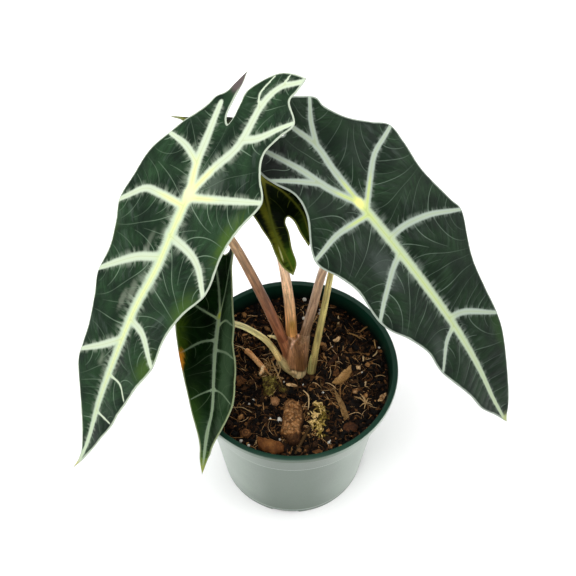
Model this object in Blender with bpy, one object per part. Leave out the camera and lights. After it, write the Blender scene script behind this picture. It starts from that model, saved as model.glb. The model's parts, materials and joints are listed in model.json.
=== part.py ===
"""A young African mask plant in a round nursery pot.

Lengths are in millimetres here and become metres where a mesh is made.
The origin is the middle of the pot's base, +Z is up, and -Y is the side
towards which the large leaves hang.
"""

import math

import bmesh
import bpy
import numpy as np
from mathutils import Matrix, Vector, noise
from mathutils.geometry import delaunay_2d_cdt

MM = 0.001
GAP = 0.3

# Pot
POT_HEIGHT = 91.0
RIM_RADIUS = 54.0
RIM_HEIGHT = 3.0
RIM_WIDTH = 2.8
COLLAR_HEIGHT = 20.5
COLLAR_TOP_RADIUS = 52.2
COLLAR_RADIUS = 49.2
BODY_RADIUS = 46.8
BASE_RADIUS = 39.3
WALL = 1.4
FOOT_HEIGHT = 3.0
FLOOR = 1.8
CENTRE_RADIUS = 16.0
CENTRE_SLOPE = 1.6
NOTCH_WIDTH = 15.0
NOTCH_HEIGHT = 1.8
NOTCH_COUNT = 4
NOTCH_TURN = -96.0
DRAIN_RADIUS = 4.0
DRAIN_CIRCLE = 28.0
POT_STEPS = 64

# Soil
SOIL_LEVEL = 82.0
SOIL_SPACING = 3.4
SOIL_STEPS = 64
SOIL_CLEARANCE = 0.6

# Blades
BLADE = 0.8
RIB = 1.5
RIB_WIDTH = 1.7
QUILT = 1.1
QUILT_WIDTH = 8.0


def smooth(value):
    """Ease from 0 to 1, flat at both ends."""
    value = np.clip(value, 0.0, 1.0)
    return value * value * (3.0 - 2.0 * value)


def spline(points, step):
    """A smooth line through the points, with a point about every step."""
    points = [np.array(point, float) for point in points]
    padded = [2 * points[0] - points[1]] + points + [2 * points[-1] - points[-2]]
    line = [points[0]]
    for before, start, end, after in zip(padded, padded[1:], padded[2:], padded[3:]):
        count = max(1, round(float(np.linalg.norm(end - start)) / step))
        for index in range(1, count + 1):
            t = index / count
            line.append(0.5 * (2 * start + (end - before) * t
                               + (2 * before - 5 * start + 4 * end - after) * t * t
                               + (3 * start - before - 3 * end + after) * t ** 3))
    return line


def material(name, colour, roughness):
    """A Principled material with one flat colour."""
    made = bpy.data.materials.new(name)
    made.use_nodes = True
    shader = made.node_tree.nodes["Principled BSDF"]
    shader.inputs["Base Color"].default_value = (*colour, 1.0)
    shader.inputs["Roughness"].default_value = roughness
    made.diffuse_color = (*colour, 1.0)
    return made


def add_mesh(name, points, faces, look, smooth_angle=40.0):
    """An object from points in millimetres."""
    mesh = bpy.data.meshes.new(name)
    mesh.from_pydata([tuple(float(value) * MM for value in point) for point in points], [], faces)
    mesh.validate()
    mesh.materials.append(look)
    made = bpy.data.objects.new(name, mesh)
    bpy.context.collection.objects.link(made)
    mesh.shade_smooth()
    mesh.set_sharp_from_angle(angle=math.radians(smooth_angle))
    return made


def lathe(name, profile, steps, look):
    """Turn a closed profile of (radius, height) points about the Z axis.

    The profile runs anticlockwise, and points on the axis become one point.
    """
    points, rings = [], []
    for radius, height in profile:
        if radius == 0.0:
            rings.append([len(points)] * steps)
            points.append((0.0, 0.0, height))
            continue
        rings.append(list(range(len(points), len(points) + steps)))
        for index in range(steps):
            angle = 2 * math.pi * index / steps
            points.append((radius * math.cos(angle), radius * math.sin(angle), height))
    faces = []
    for lower, upper in zip(rings, rings[1:]):
        for index in range(steps):
            after = (index + 1) % steps
            corners = []
            for corner in (lower[index], lower[after], upper[after], upper[index]):
                if corner not in corners:
                    corners.append(corner)
            faces.append(corners)
    return add_mesh(name, points, faces, look)


def tube(path, radii, sides, end_normal=None):
    """Points and faces of a round tube along the path, closed at both ends.

    With an end normal, the last ring is slanted to lie square to it.
    """
    path = [np.array(point, float) for point in path]
    radii = np.interp(np.linspace(0, 1, len(path)), np.linspace(0, 1, len(radii)), radii)
    points, faces = [], []
    across = np.array([1.0, 0.0, 0.0])
    for index, centre in enumerate(path):
        before = path[max(index - 1, 0)]
        after = path[min(index + 1, len(path) - 1)]
        ahead = (after - before) / np.linalg.norm(after - before)
        across = across - ahead * float(across @ ahead)
        across = across / np.linalg.norm(across)
        other = np.cross(ahead, across)
        for side in range(sides):
            angle = 2 * math.pi * side / sides
            offset = radii[index] * (across * math.cos(angle) + other * math.sin(angle))
            if end_normal is not None and index == len(path) - 1:
                offset = offset - ahead * float(offset @ end_normal) / float(ahead @ end_normal)
            points.append(centre + offset)
    for ring in range(len(path) - 1):
        for side in range(sides):
            here, there = ring * sides, (ring + 1) * sides
            after = (side + 1) % sides
            faces.append([here + side, here + after, there + after, there + side])
    faces.append(list(reversed(range(sides))))
    faces.append(list(range((len(path) - 1) * sides, len(path) * sides)))
    return points, faces


def boolean(target, others, operation):
    """Apply one Boolean for each of the other objects and remove them."""
    for other in others:
        other.hide_render = True
        other.display_type = "WIRE"
        modifier = target.modifiers.new(other.name, "BOOLEAN")
        modifier.operation = operation
        modifier.solver = "EXACT"
        modifier.object = other
    graph = bpy.context.evaluated_depsgraph_get()
    mesh = bpy.data.meshes.new_from_object(target.evaluated_get(graph))
    target.modifiers.clear()
    old = target.data
    target.data = mesh
    mesh.name = old.name
    bpy.data.meshes.remove(old)
    for other in others:
        bpy.data.objects.remove(other)


# Leaves. A blade is drawn flat: x runs across to its right, y from the petiole to the tip.


class Blade:
    """The form of one leaf blade.

    node is where the petiole holds it. heading, droop and roll turn it in degrees.
    bend gives the turn of the spine at lengths along it, and folds the lift of the
    left and right half in degrees at those lengths. cup curls each half, in degrees
    for each millimetre from the midrib. right, sinus and left are the outline from the
    tip round the lobes back to the tip, and veins hold a width and a line.
    """

    def __init__(self, node, heading, droop, roll, bend, folds, cup, ripple, outline, veins):
        self.node = np.array(node, float)
        self.bend = bend
        self.folds = folds
        self.cup = cup
        self.ripple = ripple
        self.outline = outline
        self.veins = veins
        heading, droop, roll = (math.radians(angle) for angle in (heading, droop, roll))
        ahead = np.array([math.cos(heading), math.sin(heading), 0.0])
        up = np.array([0.0, 0.0, 1.0])
        along = ahead * math.cos(droop) - up * math.sin(droop)
        face = ahead * math.sin(droop) + up * math.cos(droop)
        side = np.cross(along, face)
        self.axes = np.array([side * math.cos(roll) - face * math.sin(roll), along,
                              face * math.cos(roll) + side * math.sin(roll)])
        self.stations = np.arange(-110.0, 200.5, 0.5)
        turns = np.radians(np.interp(self.stations, [row[0] for row in bend], [row[1] for row in bend]))
        window = 21
        turns = np.convolve(np.pad(turns, window // 2, mode="edge"), np.ones(window) / window, "valid")
        self.turns = turns
        self.ahead = np.cumsum(np.cos(turns)) * 0.5
        self.fall = -np.cumsum(np.sin(turns)) * 0.5
        zero = int(np.argmin(abs(self.stations)))
        self.ahead -= self.ahead[zero]
        self.fall -= self.fall[zero]
        self.lines = [(width, spline(line, 2.0)) for width, line in veins]
        self.nets = []
        for width, line in self.lines:
            line = np.array(line)
            share = np.linspace(0.0, 1.0, len(line))
            self.nets.append((width * (1.0 - 0.75 * share), line))

    def from_veins(self, x, y):
        """The distance to the nearest vein, and how strong the rib is there."""
        nearest, rib = 1e9, 0.0
        for strength, line in self.nets:
            away = np.hypot(line[:, 0] - x, line[:, 1] - y)
            index = int(np.argmin(away))
            nearest = min(nearest, float(away[index]))
            rib = max(rib, float(strength[index]) * math.exp(-(float(away[index]) / RIB_WIDTH) ** 2))
        return nearest, rib

    def form(self, x, y):
        """The flat point (x, y) in the blade's own axes, without its quilting."""
        half = 1 if x > 0 else 0
        rows = [row[0] for row in self.folds]
        fold = math.radians(float(np.interp(y, rows, [row[1 + half] for row in self.folds])))
        curl = math.radians(self.cup[half])
        away = abs(x)
        across = (math.sin(fold + curl * away) - math.sin(fold)) / curl
        lift = (math.cos(fold) - math.cos(fold + curl * away)) / curl
        size, length, phase, start = self.ripple[half]
        wave = smooth((away - start) / start) * size
        lift += float(wave) * math.sin(2 * math.pi * (y / length + phase))
        turn = float(np.interp(y, self.stations, self.turns))
        ahead = float(np.interp(y, self.stations, self.ahead))
        fall = float(np.interp(y, self.stations, self.fall))
        return np.array([across if half else -across,
                         ahead + lift * math.sin(turn), fall + lift * math.cos(turn)])

    def normal(self, x, y):
        """The upward normal of the smooth form."""
        step = 0.25
        across = self.form(x + step, y) - self.form(x - step, y)
        along = self.form(x, y + step) - self.form(x, y - step)
        up = np.cross(across, along)
        return up / np.linalg.norm(up)

    def edge(self, step):
        """The closed flat outline."""
        line = []
        for side in self.outline:
            line += spline(side, step)[:-1]
        return line

    def faces(self, spacing):
        """Flat points and triangles that keep the outline and the vein lines."""
        edge = self.edge(spacing * 0.8)
        points = list(edge)
        lines = []
        for width, line in self.veins:
            line = spline(line, spacing * 0.8)
            lines.append(range(len(points), len(points) + len(line)))
            points += line
        fixed = np.array(points)
        rows = int(260 / (spacing * 0.87))
        for row in range(rows):
            for column in range(-12, 13):
                spot = np.array([(column + 0.5 * (row % 2)) * spacing, -90 + row * spacing * 0.87])
                away = np.hypot(fixed[:, 0] - spot[0], fixed[:, 1] - spot[1]).min()
                if away > 0.62 * spacing and inside(spot, edge):
                    points.append(spot)
        loop = list(range(len(edge)))
        chains = [(first, second) for line in lines for first, second in zip(line, line[1:])]
        cut = delaunay_2d_cdt([Vector(point) for point in points], chains, [loop], 1, 1e-3)
        return [np.array(point) for point in cut[0]], [list(face) for face in cut[2]]

    def world(self, local):
        """A point in the blade's own axes, placed in the plant."""
        return self.node + local @ self.axes

    def seat(self):
        """Where the petiole ends under the blade, and the blade's normal there."""
        up = self.normal(0.0, 0.0)
        below = self.form(0.0, 0.0) - up * (BLADE + RIB + GAP + 0.15)
        return self.world(below), up @ self.axes


def inside(spot, edge):
    """Whether the flat spot lies inside the closed outline."""
    found = False
    for first, second in zip(edge, edge[1:] + edge[:1]):
        if (first[1] > spot[1]) != (second[1] > spot[1]):
            crossing = first[0] + (spot[1] - first[1]) * (second[0] - first[0]) / (second[1] - first[1])
            found ^= spot[0] < crossing
    return found


def add_blade(name, blade, spacing, look):
    """A thin solid blade with ribs below its veins and quilting between them."""
    flat, faces = blade.faces(spacing)
    upper, lower = [], []
    for x, y in flat:
        away, rib = blade.from_veins(x, y)
        up = blade.normal(x, y)
        puff = QUILT * (1.0 - math.exp(-(away / QUILT_WIDTH) ** 2))
        top = blade.form(x, y) + up * (puff + 0.25 * rib)
        upper.append(top)
        lower.append(top - up * (BLADE + (RIB + 0.25) * rib))
    count = len(flat)
    solid, border = [], {}
    for face in faces:
        a, b, c = (flat[index] for index in face)
        if (b[0] - a[0]) * (c[1] - a[1]) - (b[1] - a[1]) * (c[0] - a[0]) < 0:
            face = face[::-1]
        solid.append(face)
        solid.append([index + count for index in reversed(face)])
        for first, second in zip(face, face[1:] + face[:1]):
            if (second, first) in border:
                del border[(second, first)]
            else:
                border[(first, second)] = True
    for first, second in border:
        solid.append([second, first, first + count])
        solid.append([second, first + count, second + count])
    made = add_mesh(name, upper + lower, solid, look, 60.0)
    turn = Matrix(blade.axes.tolist()).transposed()
    made.location = Vector(blade.node.tolist()) * MM
    made.rotation_euler = turn.to_euler()
    return made


LEFT_BLADE = Blade(
    node=(-45, 9, 218.5), heading=-127, droop=39, roll=14,
    bend=[(-70, -12), (0, 0), (60, 6), (150, 18)],
    folds=[(-60, 7, 7), (150, 7, 7)], cup=(-0.3, -0.3),
    ripple=[(0.8, 42, 0.1, 16), (0.8, 38, 0.6, 16)],
    outline=[
        [(4, 144), (2, 137), (2, 130), (6, 118), (13, 104), (20, 93), (21, 85), (21, 75), (24, 62),
         (29, 52), (28, 38), (30, 28), (35, 19), (34, 7), (31, -6), (24, -22), (18, -31), (15, -37),
         (13.5, -42), (10, -46), (8, -51), (6, -58)],
        [(6, -58), (4.5, -52), (4, -44), (3, -37), (0, -34), (-1, -38), (0, -44), (1, -50), (-2, -56),
         (-8, -63), (-15, -66), (-23, -67)],
        [(-23, -67), (-23, -60), (-23, -55), (-31, -48), (-29, -40), (-27, -31), (-31, -22),
         (-37, -13), (-35, 1), (-33, 16), (-33, 32), (-28, 46), (-24, 60), (-23, 76), (-17, 94),
         (-12, 112), (-5, 128), (4, 144)]],
    veins=[
        (1.0, [(0, 0), (-1, 18), (-2, 36), (0, 56), (0, 80), (0, 102), (-1, 124), (1, 138)]),
        (0.8, [(0, 0), (4, -12), (6, -25), (8, -39)]),
        (0.6, [(4, -13), (14, -17), (25, -18)]),
        (0.8, [(0, 0), (-6, -15), (-12, -29), (-11, -48), (-14, -58), (-20, -63)]),
        (0.6, [(-12, -31), (-20, -36), (-27, -44)]),
        (0.7, [(0, 6), (15, 7), (24, 9), (32, 17)]),
        (0.7, [(0, 31), (10, 36), (19, 43), (26, 49)]),
        (0.6, [(0, 72), (9, 80), (17, 86)]),
        (0.7, [(0, 2), (-18, -5), (-34, -12)]),
        (0.7, [(0, 20), (-15, 21), (-23, 24), (-30, 31)]),
        (0.6, [(0, 62), (-11, 64), (-21, 72)]),
        (0.4, [(0, 90), (-9, 90), (-14, 94)]),
        (0.4, [(0, 109), (-9, 109)])])

RIGHT_BLADE = Blade(
    node=(29, 16, 203.5), heading=-31, droop=42, roll=8,
    bend=[(-60, -10), (0, 0), (60, 8), (150, 22)],
    folds=[(-60, 7, 7), (150, 7, 7)], cup=(-0.3, -0.3),
    ripple=[(0.8, 44, 0.4, 16), (0.8, 40, 0.9, 16)],
    outline=[
        [(2, 150), (7, 138), (13, 125), (15, 113), (19, 98), (21, 87), (21, 75), (25, 62), (30, 51),
         (31, 42), (30, 27), (33, 14), (36, 4), (33, -4), (25, -15), (22, -25), (25, -35), (26, -44),
         (20, -54)],
        [(20, -54), (12, -51), (5, -46), (0, -52), (-6, -59)],
        [(-6, -59), (-13, -53), (-19, -47), (-19, -41), (-23, -31), (-31, -21), (-38, -13), (-37, -2),
         (-36, 12), (-38, 32), (-40, 42), (-34, 53), (-28, 66), (-25, 80), (-24, 97), (-18, 111),
         (-11, 126), (-4, 141), (2, 150)]],
    veins=[
        (1.0, [(0, 0), (0, 25), (0, 50), (0, 80), (1, 106), (3, 128), (3, 143)]),
        (0.8, [(0, 0), (-1, -18), (-3, -32), (-1, -45)]),
        (0.6, [(-3, -32), (-9, -41), (-15, -47)]),
        (0.8, [(0, 0), (7, -15), (11, -30), (16, -44)]),
        (0.6, [(8, -19), (15, -27), (24, -36)]),
        (0.7, [(0, 5), (-12, -4), (-22, -10), (-34, -12)]),
        (0.7, [(0, 22), (-11, 24), (-24, 30), (-35, 38)]),
        (0.7, [(0, 74), (-9, 79), (-21, 92)]),
        (0.7, [(0, 7), (9, 4), (20, 1), (32, 1)]),
        (0.7, [(0, 31), (9, 33), (20, 38), (27, 42)]),
        (0.6, [(0, 79), (9, 81), (18, 88)])])

LOW_BLADE = Blade(
    node=(-36, 6, 128.5), heading=-97, droop=24, roll=0,
    bend=[(-45, -20), (0, 0), (40, 14), (60, 46), (100, 58)],
    folds=[(-20, 62, 3), (0, 60, 3), (35, 50, 3)], cup=(-0.2, -0.5),
    ripple=[(0.7, 30, 0.2, 9), (0.9, 33, 0.5, 9)],
    outline=[
        [(4, 91), (5, 80), (5, 68), (7, 56), (11, 43), (15, 30), (19, 18), (22, 4), (21, -10),
         (17, -24), (12, -34), (7, -40)],
        [(7, -40), (4, -34), (2, -32), (0, -34), (-3, -37)],
        [(-3, -37), (-5, -31), (-6, -24), (-10, -16), (-14, -6), (-16, 6), (-17, 17), (-20, 27),
         (-19, 38), (-15, 47), (-9, 56), (-4, 65), (0, 76), (4, 91)]],
    veins=[
        (0.8, [(0, 0), (0, 17), (-1, 32), (-2, 45), (1, 60), (3, 80)]),
        (0.5, [(0, 0), (2, -12), (5, -24)]),
        (0.5, [(0, 0), (-3, -12), (-4, -24)]),
        (0.5, [(0, 2), (9, -2), (17, -6)]),
        (0.5, [(0, 12), (8, 14), (17, 20)]),
        (0.4, [(-1, 36), (5, 39), (11, 43)]),
        (0.5, [(0, 5), (-7, 3), (-13, 5)]),
        (0.5, [(0, 17), (-10, 18), (-16, 20)]),
        (0.4, [(-2, 36), (-9, 37), (-16, 40)])])

BACK_BLADE = Blade(
    node=(-14, 31, 201.5), heading=114, droop=12, roll=0,
    bend=[(-50, -62), (-20, -42), (0, 0), (40, 10), (110, 24)],
    folds=[(-50, -5, -5), (100, 4, 4)], cup=(-0.3, -0.3),
    ripple=[(0.8, 34, 0.0, 12), (0.8, 30, 0.5, 12)],
    outline=[
        [(-14, 98), (-9, 88), (-2, 78), (7, 66), (15, 52), (21, 37), (24, 22), (25, 8), (23, -6),
         (20, -18), (15, -29), (8, -38)],
        [(8, -38), (6, -31), (5, -25), (3, -22), (1, -24), (1, -29), (0, -36), (0, -43), (-3, -48)],
        [(-3, -48), (-6.5, -43), (-8, -37), (-8.5, -30), (-10, -24), (-12, -15), (-16, -5), (-20, 6),
         (-22, 19), (-22, 34), (-21, 48), (-18, 62), (-14, 75), (-11.5, 86), (-14, 98)]],
    veins=[
        (0.8, [(0, 0), (0, 20), (-1, 42), (-4, 62), (-9, 80), (-12, 92)]),
        (0.6, [(0, 0), (-3, -12), (-5, -26), (-3, -42)]),
        (0.6, [(0, 0), (6, -11), (10, -22), (10, -31)]),
        (0.5, [(0, 2), (-10, 1), (-19, -1)]),
        (0.5, [(0, 3), (10, 2), (20, 0)]),
        (0.5, [(0, 20), (-10, 23), (-20, 30)]),
        (0.5, [(0, 18), (10, 21), (19, 27)]),
        (0.4, [(-1, 44), (-9, 48), (-17, 55)]),
        (0.4, [(-1, 42), (8, 46), (13, 51)])])


# Petioles. Each starts on the stem and ends under its blade.

STEM_PATH = [(2.6, 1.6, 71.5), (2.6, 1.9, 82), (2.4, 2.4, 87), (1.9, 3.4, 94), (1.7, 4.6, 101),
             (1.6, 5.6, 106)]
STEM_RADII = [4.0, 4.2, 4.5, 5.2, 5.1, 4.8, 3.2]
STEM_HOLE = 5.2
STEM_HOLE_FLOOR = 70.5
LEFT_ROUTE = [(-5.3, 4.4, 109.5), (-10, 6.5, 125.5), (-15.5, 9, 142.5), (-22.5, 11.5, 163.5),
              (-29, 12.5, 181.5), (-37, 12, 199.5)]
MIDDLE_ROUTE = [(-0.9, 8, 109.5), (-2, 12.5, 130.5), (-5, 16.5, 156.5), (-9.5, 22, 179.5)]
RIGHT_ROUTE = [(6, 8.2, 109.5), (9.5, 12, 126.5), (13.5, 16, 148.5), (19, 18, 172.5), (24.5, 18.5, 189.5)]
LOW_ROUTE = [(-6.9, -0.2, 98.5), (-10.7, 1.6, 107), (-15.5, 3.4, 113), (-24, 5.2, 119.5), (-31, 5.8, 123)]
SPIKE_ROUTE = [(9.8, 1, 77.5), (10.1, 1.7, 84), (11, 4, 95.5), (12.8, 8, 108), (15.1, 13, 122.5),
               (17.9, 20, 141), (20.2, 25, 158), (21.8, 28.5, 176), (22.6, 30.5, 189), (23, 31.5, 199)]
SPIKE_RADII = [1.6, 1.8, 1.8, 1.7, 1.6, 1.5, 2.0, 1.7, 0.5]
SPIKE_HOLE = (10, 1.5, 2.2)
SPIKE_HOLE_FLOOR = 76.5
SHEATHS = [
    [(0.4, 1.6, 88.6), (-2.3, 2.8, 100), LEFT_ROUTE[0], LEFT_ROUTE[1], 2.75],
    [(2.0, 2.4, 87.3), (0.9, 4.9, 99), MIDDLE_ROUTE[0], MIDDLE_ROUTE[1], 2.9],
    [(3.6, 2.0, 88), (5.0, 4.4, 99.3), RIGHT_ROUTE[0], RIGHT_ROUTE[1], 2.6],
    [(0.6, -1.0, 87), (-3.6, -1.2, 92), LOW_ROUTE[0], LOW_ROUTE[1], 1.8]]
SHEATH_SWELL = (1.35, 1.2, 1.0)
SHEATH_LIP = 2.0


def add_petiole(name, route, radii, blade, look):
    """A petiole from just above its sheath to just under its blade."""
    end, normal = blade.seat()
    route = [np.array(point, float) for point in route]
    ahead = (route[1] - route[0]) / np.linalg.norm(route[1] - route[0])
    route[0] = route[0] + ahead * GAP
    path = spline(route + [end], 9.0)
    points, faces = tube(path, radii, 12, normal)
    return add_mesh(name, points, faces, look)


def add_stem(look):
    """The short stem with the sheaths that wrap it and open into the petioles."""
    points, faces = tube(spline(STEM_PATH, 5.0), STEM_RADII, 16)
    stem = add_mesh("stem_base", points, faces, look)
    sheaths = []
    for start, middle, end, after, radius in SHEATHS:
        ahead = np.array(after, float) - np.array(end, float)
        ahead = ahead / np.linalg.norm(ahead)
        path = spline([start, middle, end], 4.0)
        path[-2] = path[-1] - ahead * SHEATH_LIP
        points, faces = tube(path, [radius * swell for swell in SHEATH_SWELL], 12, ahead)
        sheaths.append(add_mesh("sheath", points, faces, look))
    boolean(stem, sheaths, "UNION")
    return stem


# Pot and soil

COLLAR = POT_HEIGHT - COLLAR_HEIGHT
LEDGE = COLLAR + 2 * WALL
POT_FLOOR = FOOT_HEIGHT + FLOOR


def inner_radius(height):
    """The radius of the pot's inner wall at a height."""
    rows = [FOOT_HEIGHT, COLLAR, LEDGE, POT_HEIGHT]
    radii = [BASE_RADIUS - WALL, BODY_RADIUS - WALL, COLLAR_RADIUS - WALL + 0.4, RIM_RADIUS - RIM_WIDTH]
    return float(np.interp(height, rows, radii))


def add_pot(look):
    """A tapered pot with a flat rim on a stepped collar, and a notched foot.

    Its floor stands on the middle and is raised round it, where the drain holes are.
    """
    under = POT_HEIGHT - RIM_HEIGHT
    profile = [
        (0.0, 0.0), (CENTRE_RADIUS, 0.0), (CENTRE_RADIUS + CENTRE_SLOPE, FOOT_HEIGHT),
        (BASE_RADIUS - 2 * WALL, FOOT_HEIGHT), (BASE_RADIUS - 1.6 * WALL, 0.0),
        (BASE_RADIUS - 0.5, 0.0), (BASE_RADIUS, 0.5), (BODY_RADIUS, COLLAR - 0.6),
        (COLLAR_RADIUS - 0.4, COLLAR), (COLLAR_RADIUS, COLLAR + 0.8), (COLLAR_TOP_RADIUS, under),
        (RIM_RADIUS - 0.4, under), (RIM_RADIUS, under + 0.4), (RIM_RADIUS, POT_HEIGHT - 0.5),
        (RIM_RADIUS - 0.5, POT_HEIGHT), (RIM_RADIUS - RIM_WIDTH + 0.4, POT_HEIGHT),
        (RIM_RADIUS - RIM_WIDTH, POT_HEIGHT - 0.4), (inner_radius(LEDGE), LEDGE),
        (inner_radius(COLLAR), COLLAR), (inner_radius(POT_FLOOR), POT_FLOOR),
        (CENTRE_RADIUS + 0.5, POT_FLOOR), (CENTRE_RADIUS + 0.5 - CENTRE_SLOPE, FLOOR), (0.0, FLOOR)]
    pot = lathe("pot", profile, POT_STEPS, look)
    cutters = []
    for index in range(NOTCH_COUNT):
        angle = math.radians(NOTCH_TURN + 360.0 * index / NOTCH_COUNT)
        bpy.ops.mesh.primitive_cube_add(size=1.0)
        notch = bpy.context.object
        notch.name = "notch"
        notch.scale = (10 * MM, NOTCH_WIDTH * MM, 2 * NOTCH_HEIGHT * MM)
        notch.rotation_euler.z = angle
        notch.location = Vector((math.cos(angle), math.sin(angle), 0)) * BASE_RADIUS * MM
        cutters.append(notch)
        turned = angle + math.pi / NOTCH_COUNT
        bpy.ops.mesh.primitive_cylinder_add(vertices=16, radius=DRAIN_RADIUS * MM, depth=20 * MM)
        drain = bpy.context.object
        drain.name = "drain"
        drain.location = Vector((math.cos(turned), math.sin(turned), 0)) * DRAIN_CIRCLE * MM
        cutters.append(drain)
    boolean(pot, cutters, "DIFFERENCE")
    return pot


# Pieces that lie on the soil: name, middle, half sizes, turn, height and roughness
LITTER = [
    ("bark_chunk", (-0.6, -27), (5.8, 12), 4, 8.0, 1.0),
    ("bark_chip_front", (-11, -42), (7.5, 4.2), -18, 3.4, 0.6),
    ("bark_chip_right", (29, -31.5), (4.2, 3.2), 10, 3.0, 0.7),
    ("bark_chip_left", (-24, -35), (3.0, 2.4), 20, 2.4, 0.7),
    ("wood_splinter", (-20.5, 8.5), (2.2, 10.5), 38, 3.6, 0.5),
    ("tan_chip", (25.0, 0.5), (7.0, 2.4), 44, 3.0, 0.5),
    ("leaf_sliver", (24.8, -16.5), (2.0, 10.5), 21, 1.6, 0.3),
    ("pebble", (-9.5, -16.5), (2.7, 2.4), 0, 3.2, 0.25),
    ("moss_tuft", (13, -26), (4.6, 9.0), 26, 4.0, 1.4)]
SEAT_MARGIN = 1.5


def on_piece(x, y, middle, half, turn):
    """How far inside a piece's footprint a spot is: 1 at its middle, 0 at its edge."""
    angle = math.radians(turn)
    dx, dy = x - middle[0], y - middle[1]
    along = dx * math.cos(angle) + dy * math.sin(angle)
    across = dy * math.cos(angle) - dx * math.sin(angle)
    return 1.0 - math.hypot(along / (half[0] + SEAT_MARGIN), across / (half[1] + SEAT_MARGIN))


def soil_height(x, y):
    """The soil's surface: crumbs and chips over low heaps, flat under each loose piece."""
    spot = Vector((x, y, 0))
    height = 1.2 * noise.noise(spot * 0.045 + Vector((3, 7, 1)))
    height += 1.5 * noise.noise(spot * 0.17 + Vector((9, 2, 5)))
    height += 1.3 * abs(noise.noise(spot * 0.33 + Vector((1, 4, 8))))
    edge = smooth((math.hypot(x, y) - 42.0) / 8.0)
    mound = math.exp(-(math.hypot(x - STEM_PATH[1][0], y - STEM_PATH[1][1]) / 13.0) ** 2)
    height = SOIL_LEVEL + height * (1.0 - 0.6 * float(edge)) + 1.2 * mound - 0.8 * float(edge)
    for _, middle, half, turn, _, _ in LITTER:
        share = float(smooth(on_piece(x, y, middle, half, turn) * 4.0 + 1.0))
        height += (seat_height(middle) - height) * share
    for middle, radius in (((STEM_PATH[1][0], STEM_PATH[1][1]), 7.0), (SPIKE_HOLE[:2], 3.5)):
        share = float(smooth(2.0 - math.hypot(x - middle[0], y - middle[1]) / radius))
        height += (SOIL_LEVEL + 0.8 - height) * share
    return height


def seat_height(middle):
    """The level of the flat spot under a loose piece."""
    return SOIL_LEVEL - 0.3 + 0.5 * noise.noise(Vector((middle[0] * 0.1, middle[1] * 0.1, 4.0)))


def add_soil(look):
    """The potting mix: its surface, its side along the pot's wall and its underside on the floor."""
    turns = [2 * math.pi * index / SOIL_STEPS for index in range(SOIL_STEPS)]
    top_radius = inner_radius(SOIL_LEVEL) - SOIL_CLEARANCE
    edge = [np.array([top_radius * math.cos(turn), top_radius * math.sin(turn)]) for turn in turns]
    flat = list(edge)
    count = int(2.4 * RIM_RADIUS / SOIL_SPACING)
    for row in range(count):
        for column in range(count):
            x = (column + 0.5 * (row % 2) - count / 2) * SOIL_SPACING
            y = (row - count / 2) * SOIL_SPACING * 0.87
            x += 0.5 * noise.noise(Vector((x, y, 3.0)))
            y += 0.5 * noise.noise(Vector((x, y, 6.0)))
            if math.hypot(x, y) < top_radius - 0.6 * SOIL_SPACING:
                flat.append(np.array([x, y]))
    cut = delaunay_2d_cdt([Vector(point) for point in flat], [], [list(range(SOIL_STEPS))], 1, 1e-3)
    points = [(point[0], point[1], soil_height(point[0], point[1])) for point in cut[0]]
    faces = [list(face) for face in cut[2]]
    for index in range(SOIL_STEPS):
        points[index] = (points[index][0], points[index][1], SOIL_LEVEL - 0.5)
    ring = list(range(SOIL_STEPS))
    well = CENTRE_RADIUS + 0.5 - SOIL_CLEARANCE
    for radius, level in ((inner_radius(LEDGE) - SOIL_CLEARANCE, LEDGE),
                          (inner_radius(COLLAR) - SOIL_CLEARANCE, COLLAR),
                          (inner_radius(POT_FLOOR) - SOIL_CLEARANCE, POT_FLOOR + GAP),
                          (well, POT_FLOOR + GAP), (well - CENTRE_SLOPE, FLOOR + GAP)):
        below = list(range(len(points), len(points) + SOIL_STEPS))
        points += [(radius * math.cos(turn), radius * math.sin(turn), level) for turn in turns]
        for index in range(SOIL_STEPS):
            after = (index + 1) % SOIL_STEPS
            faces.append([below[index], below[after], ring[after], ring[index]])
        ring = below
    faces.append(list(reversed(ring)))
    soil = add_mesh("soil", points, faces, look)
    holes = []
    for middle, radius, low in ((STEM_PATH[0][:2], STEM_HOLE, STEM_HOLE_FLOOR),
                                (SPIKE_HOLE[:2], SPIKE_HOLE[2], SPIKE_HOLE_FLOOR)):
        bpy.ops.mesh.primitive_cylinder_add(vertices=20, radius=radius * MM, depth=30 * MM)
        hole = bpy.context.object
        hole.name = "hole"
        hole.location = Vector((middle[0], middle[1], low + 15)) * MM
        holes.append(hole)
    boolean(soil, holes, "DIFFERENCE")
    return soil


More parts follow.
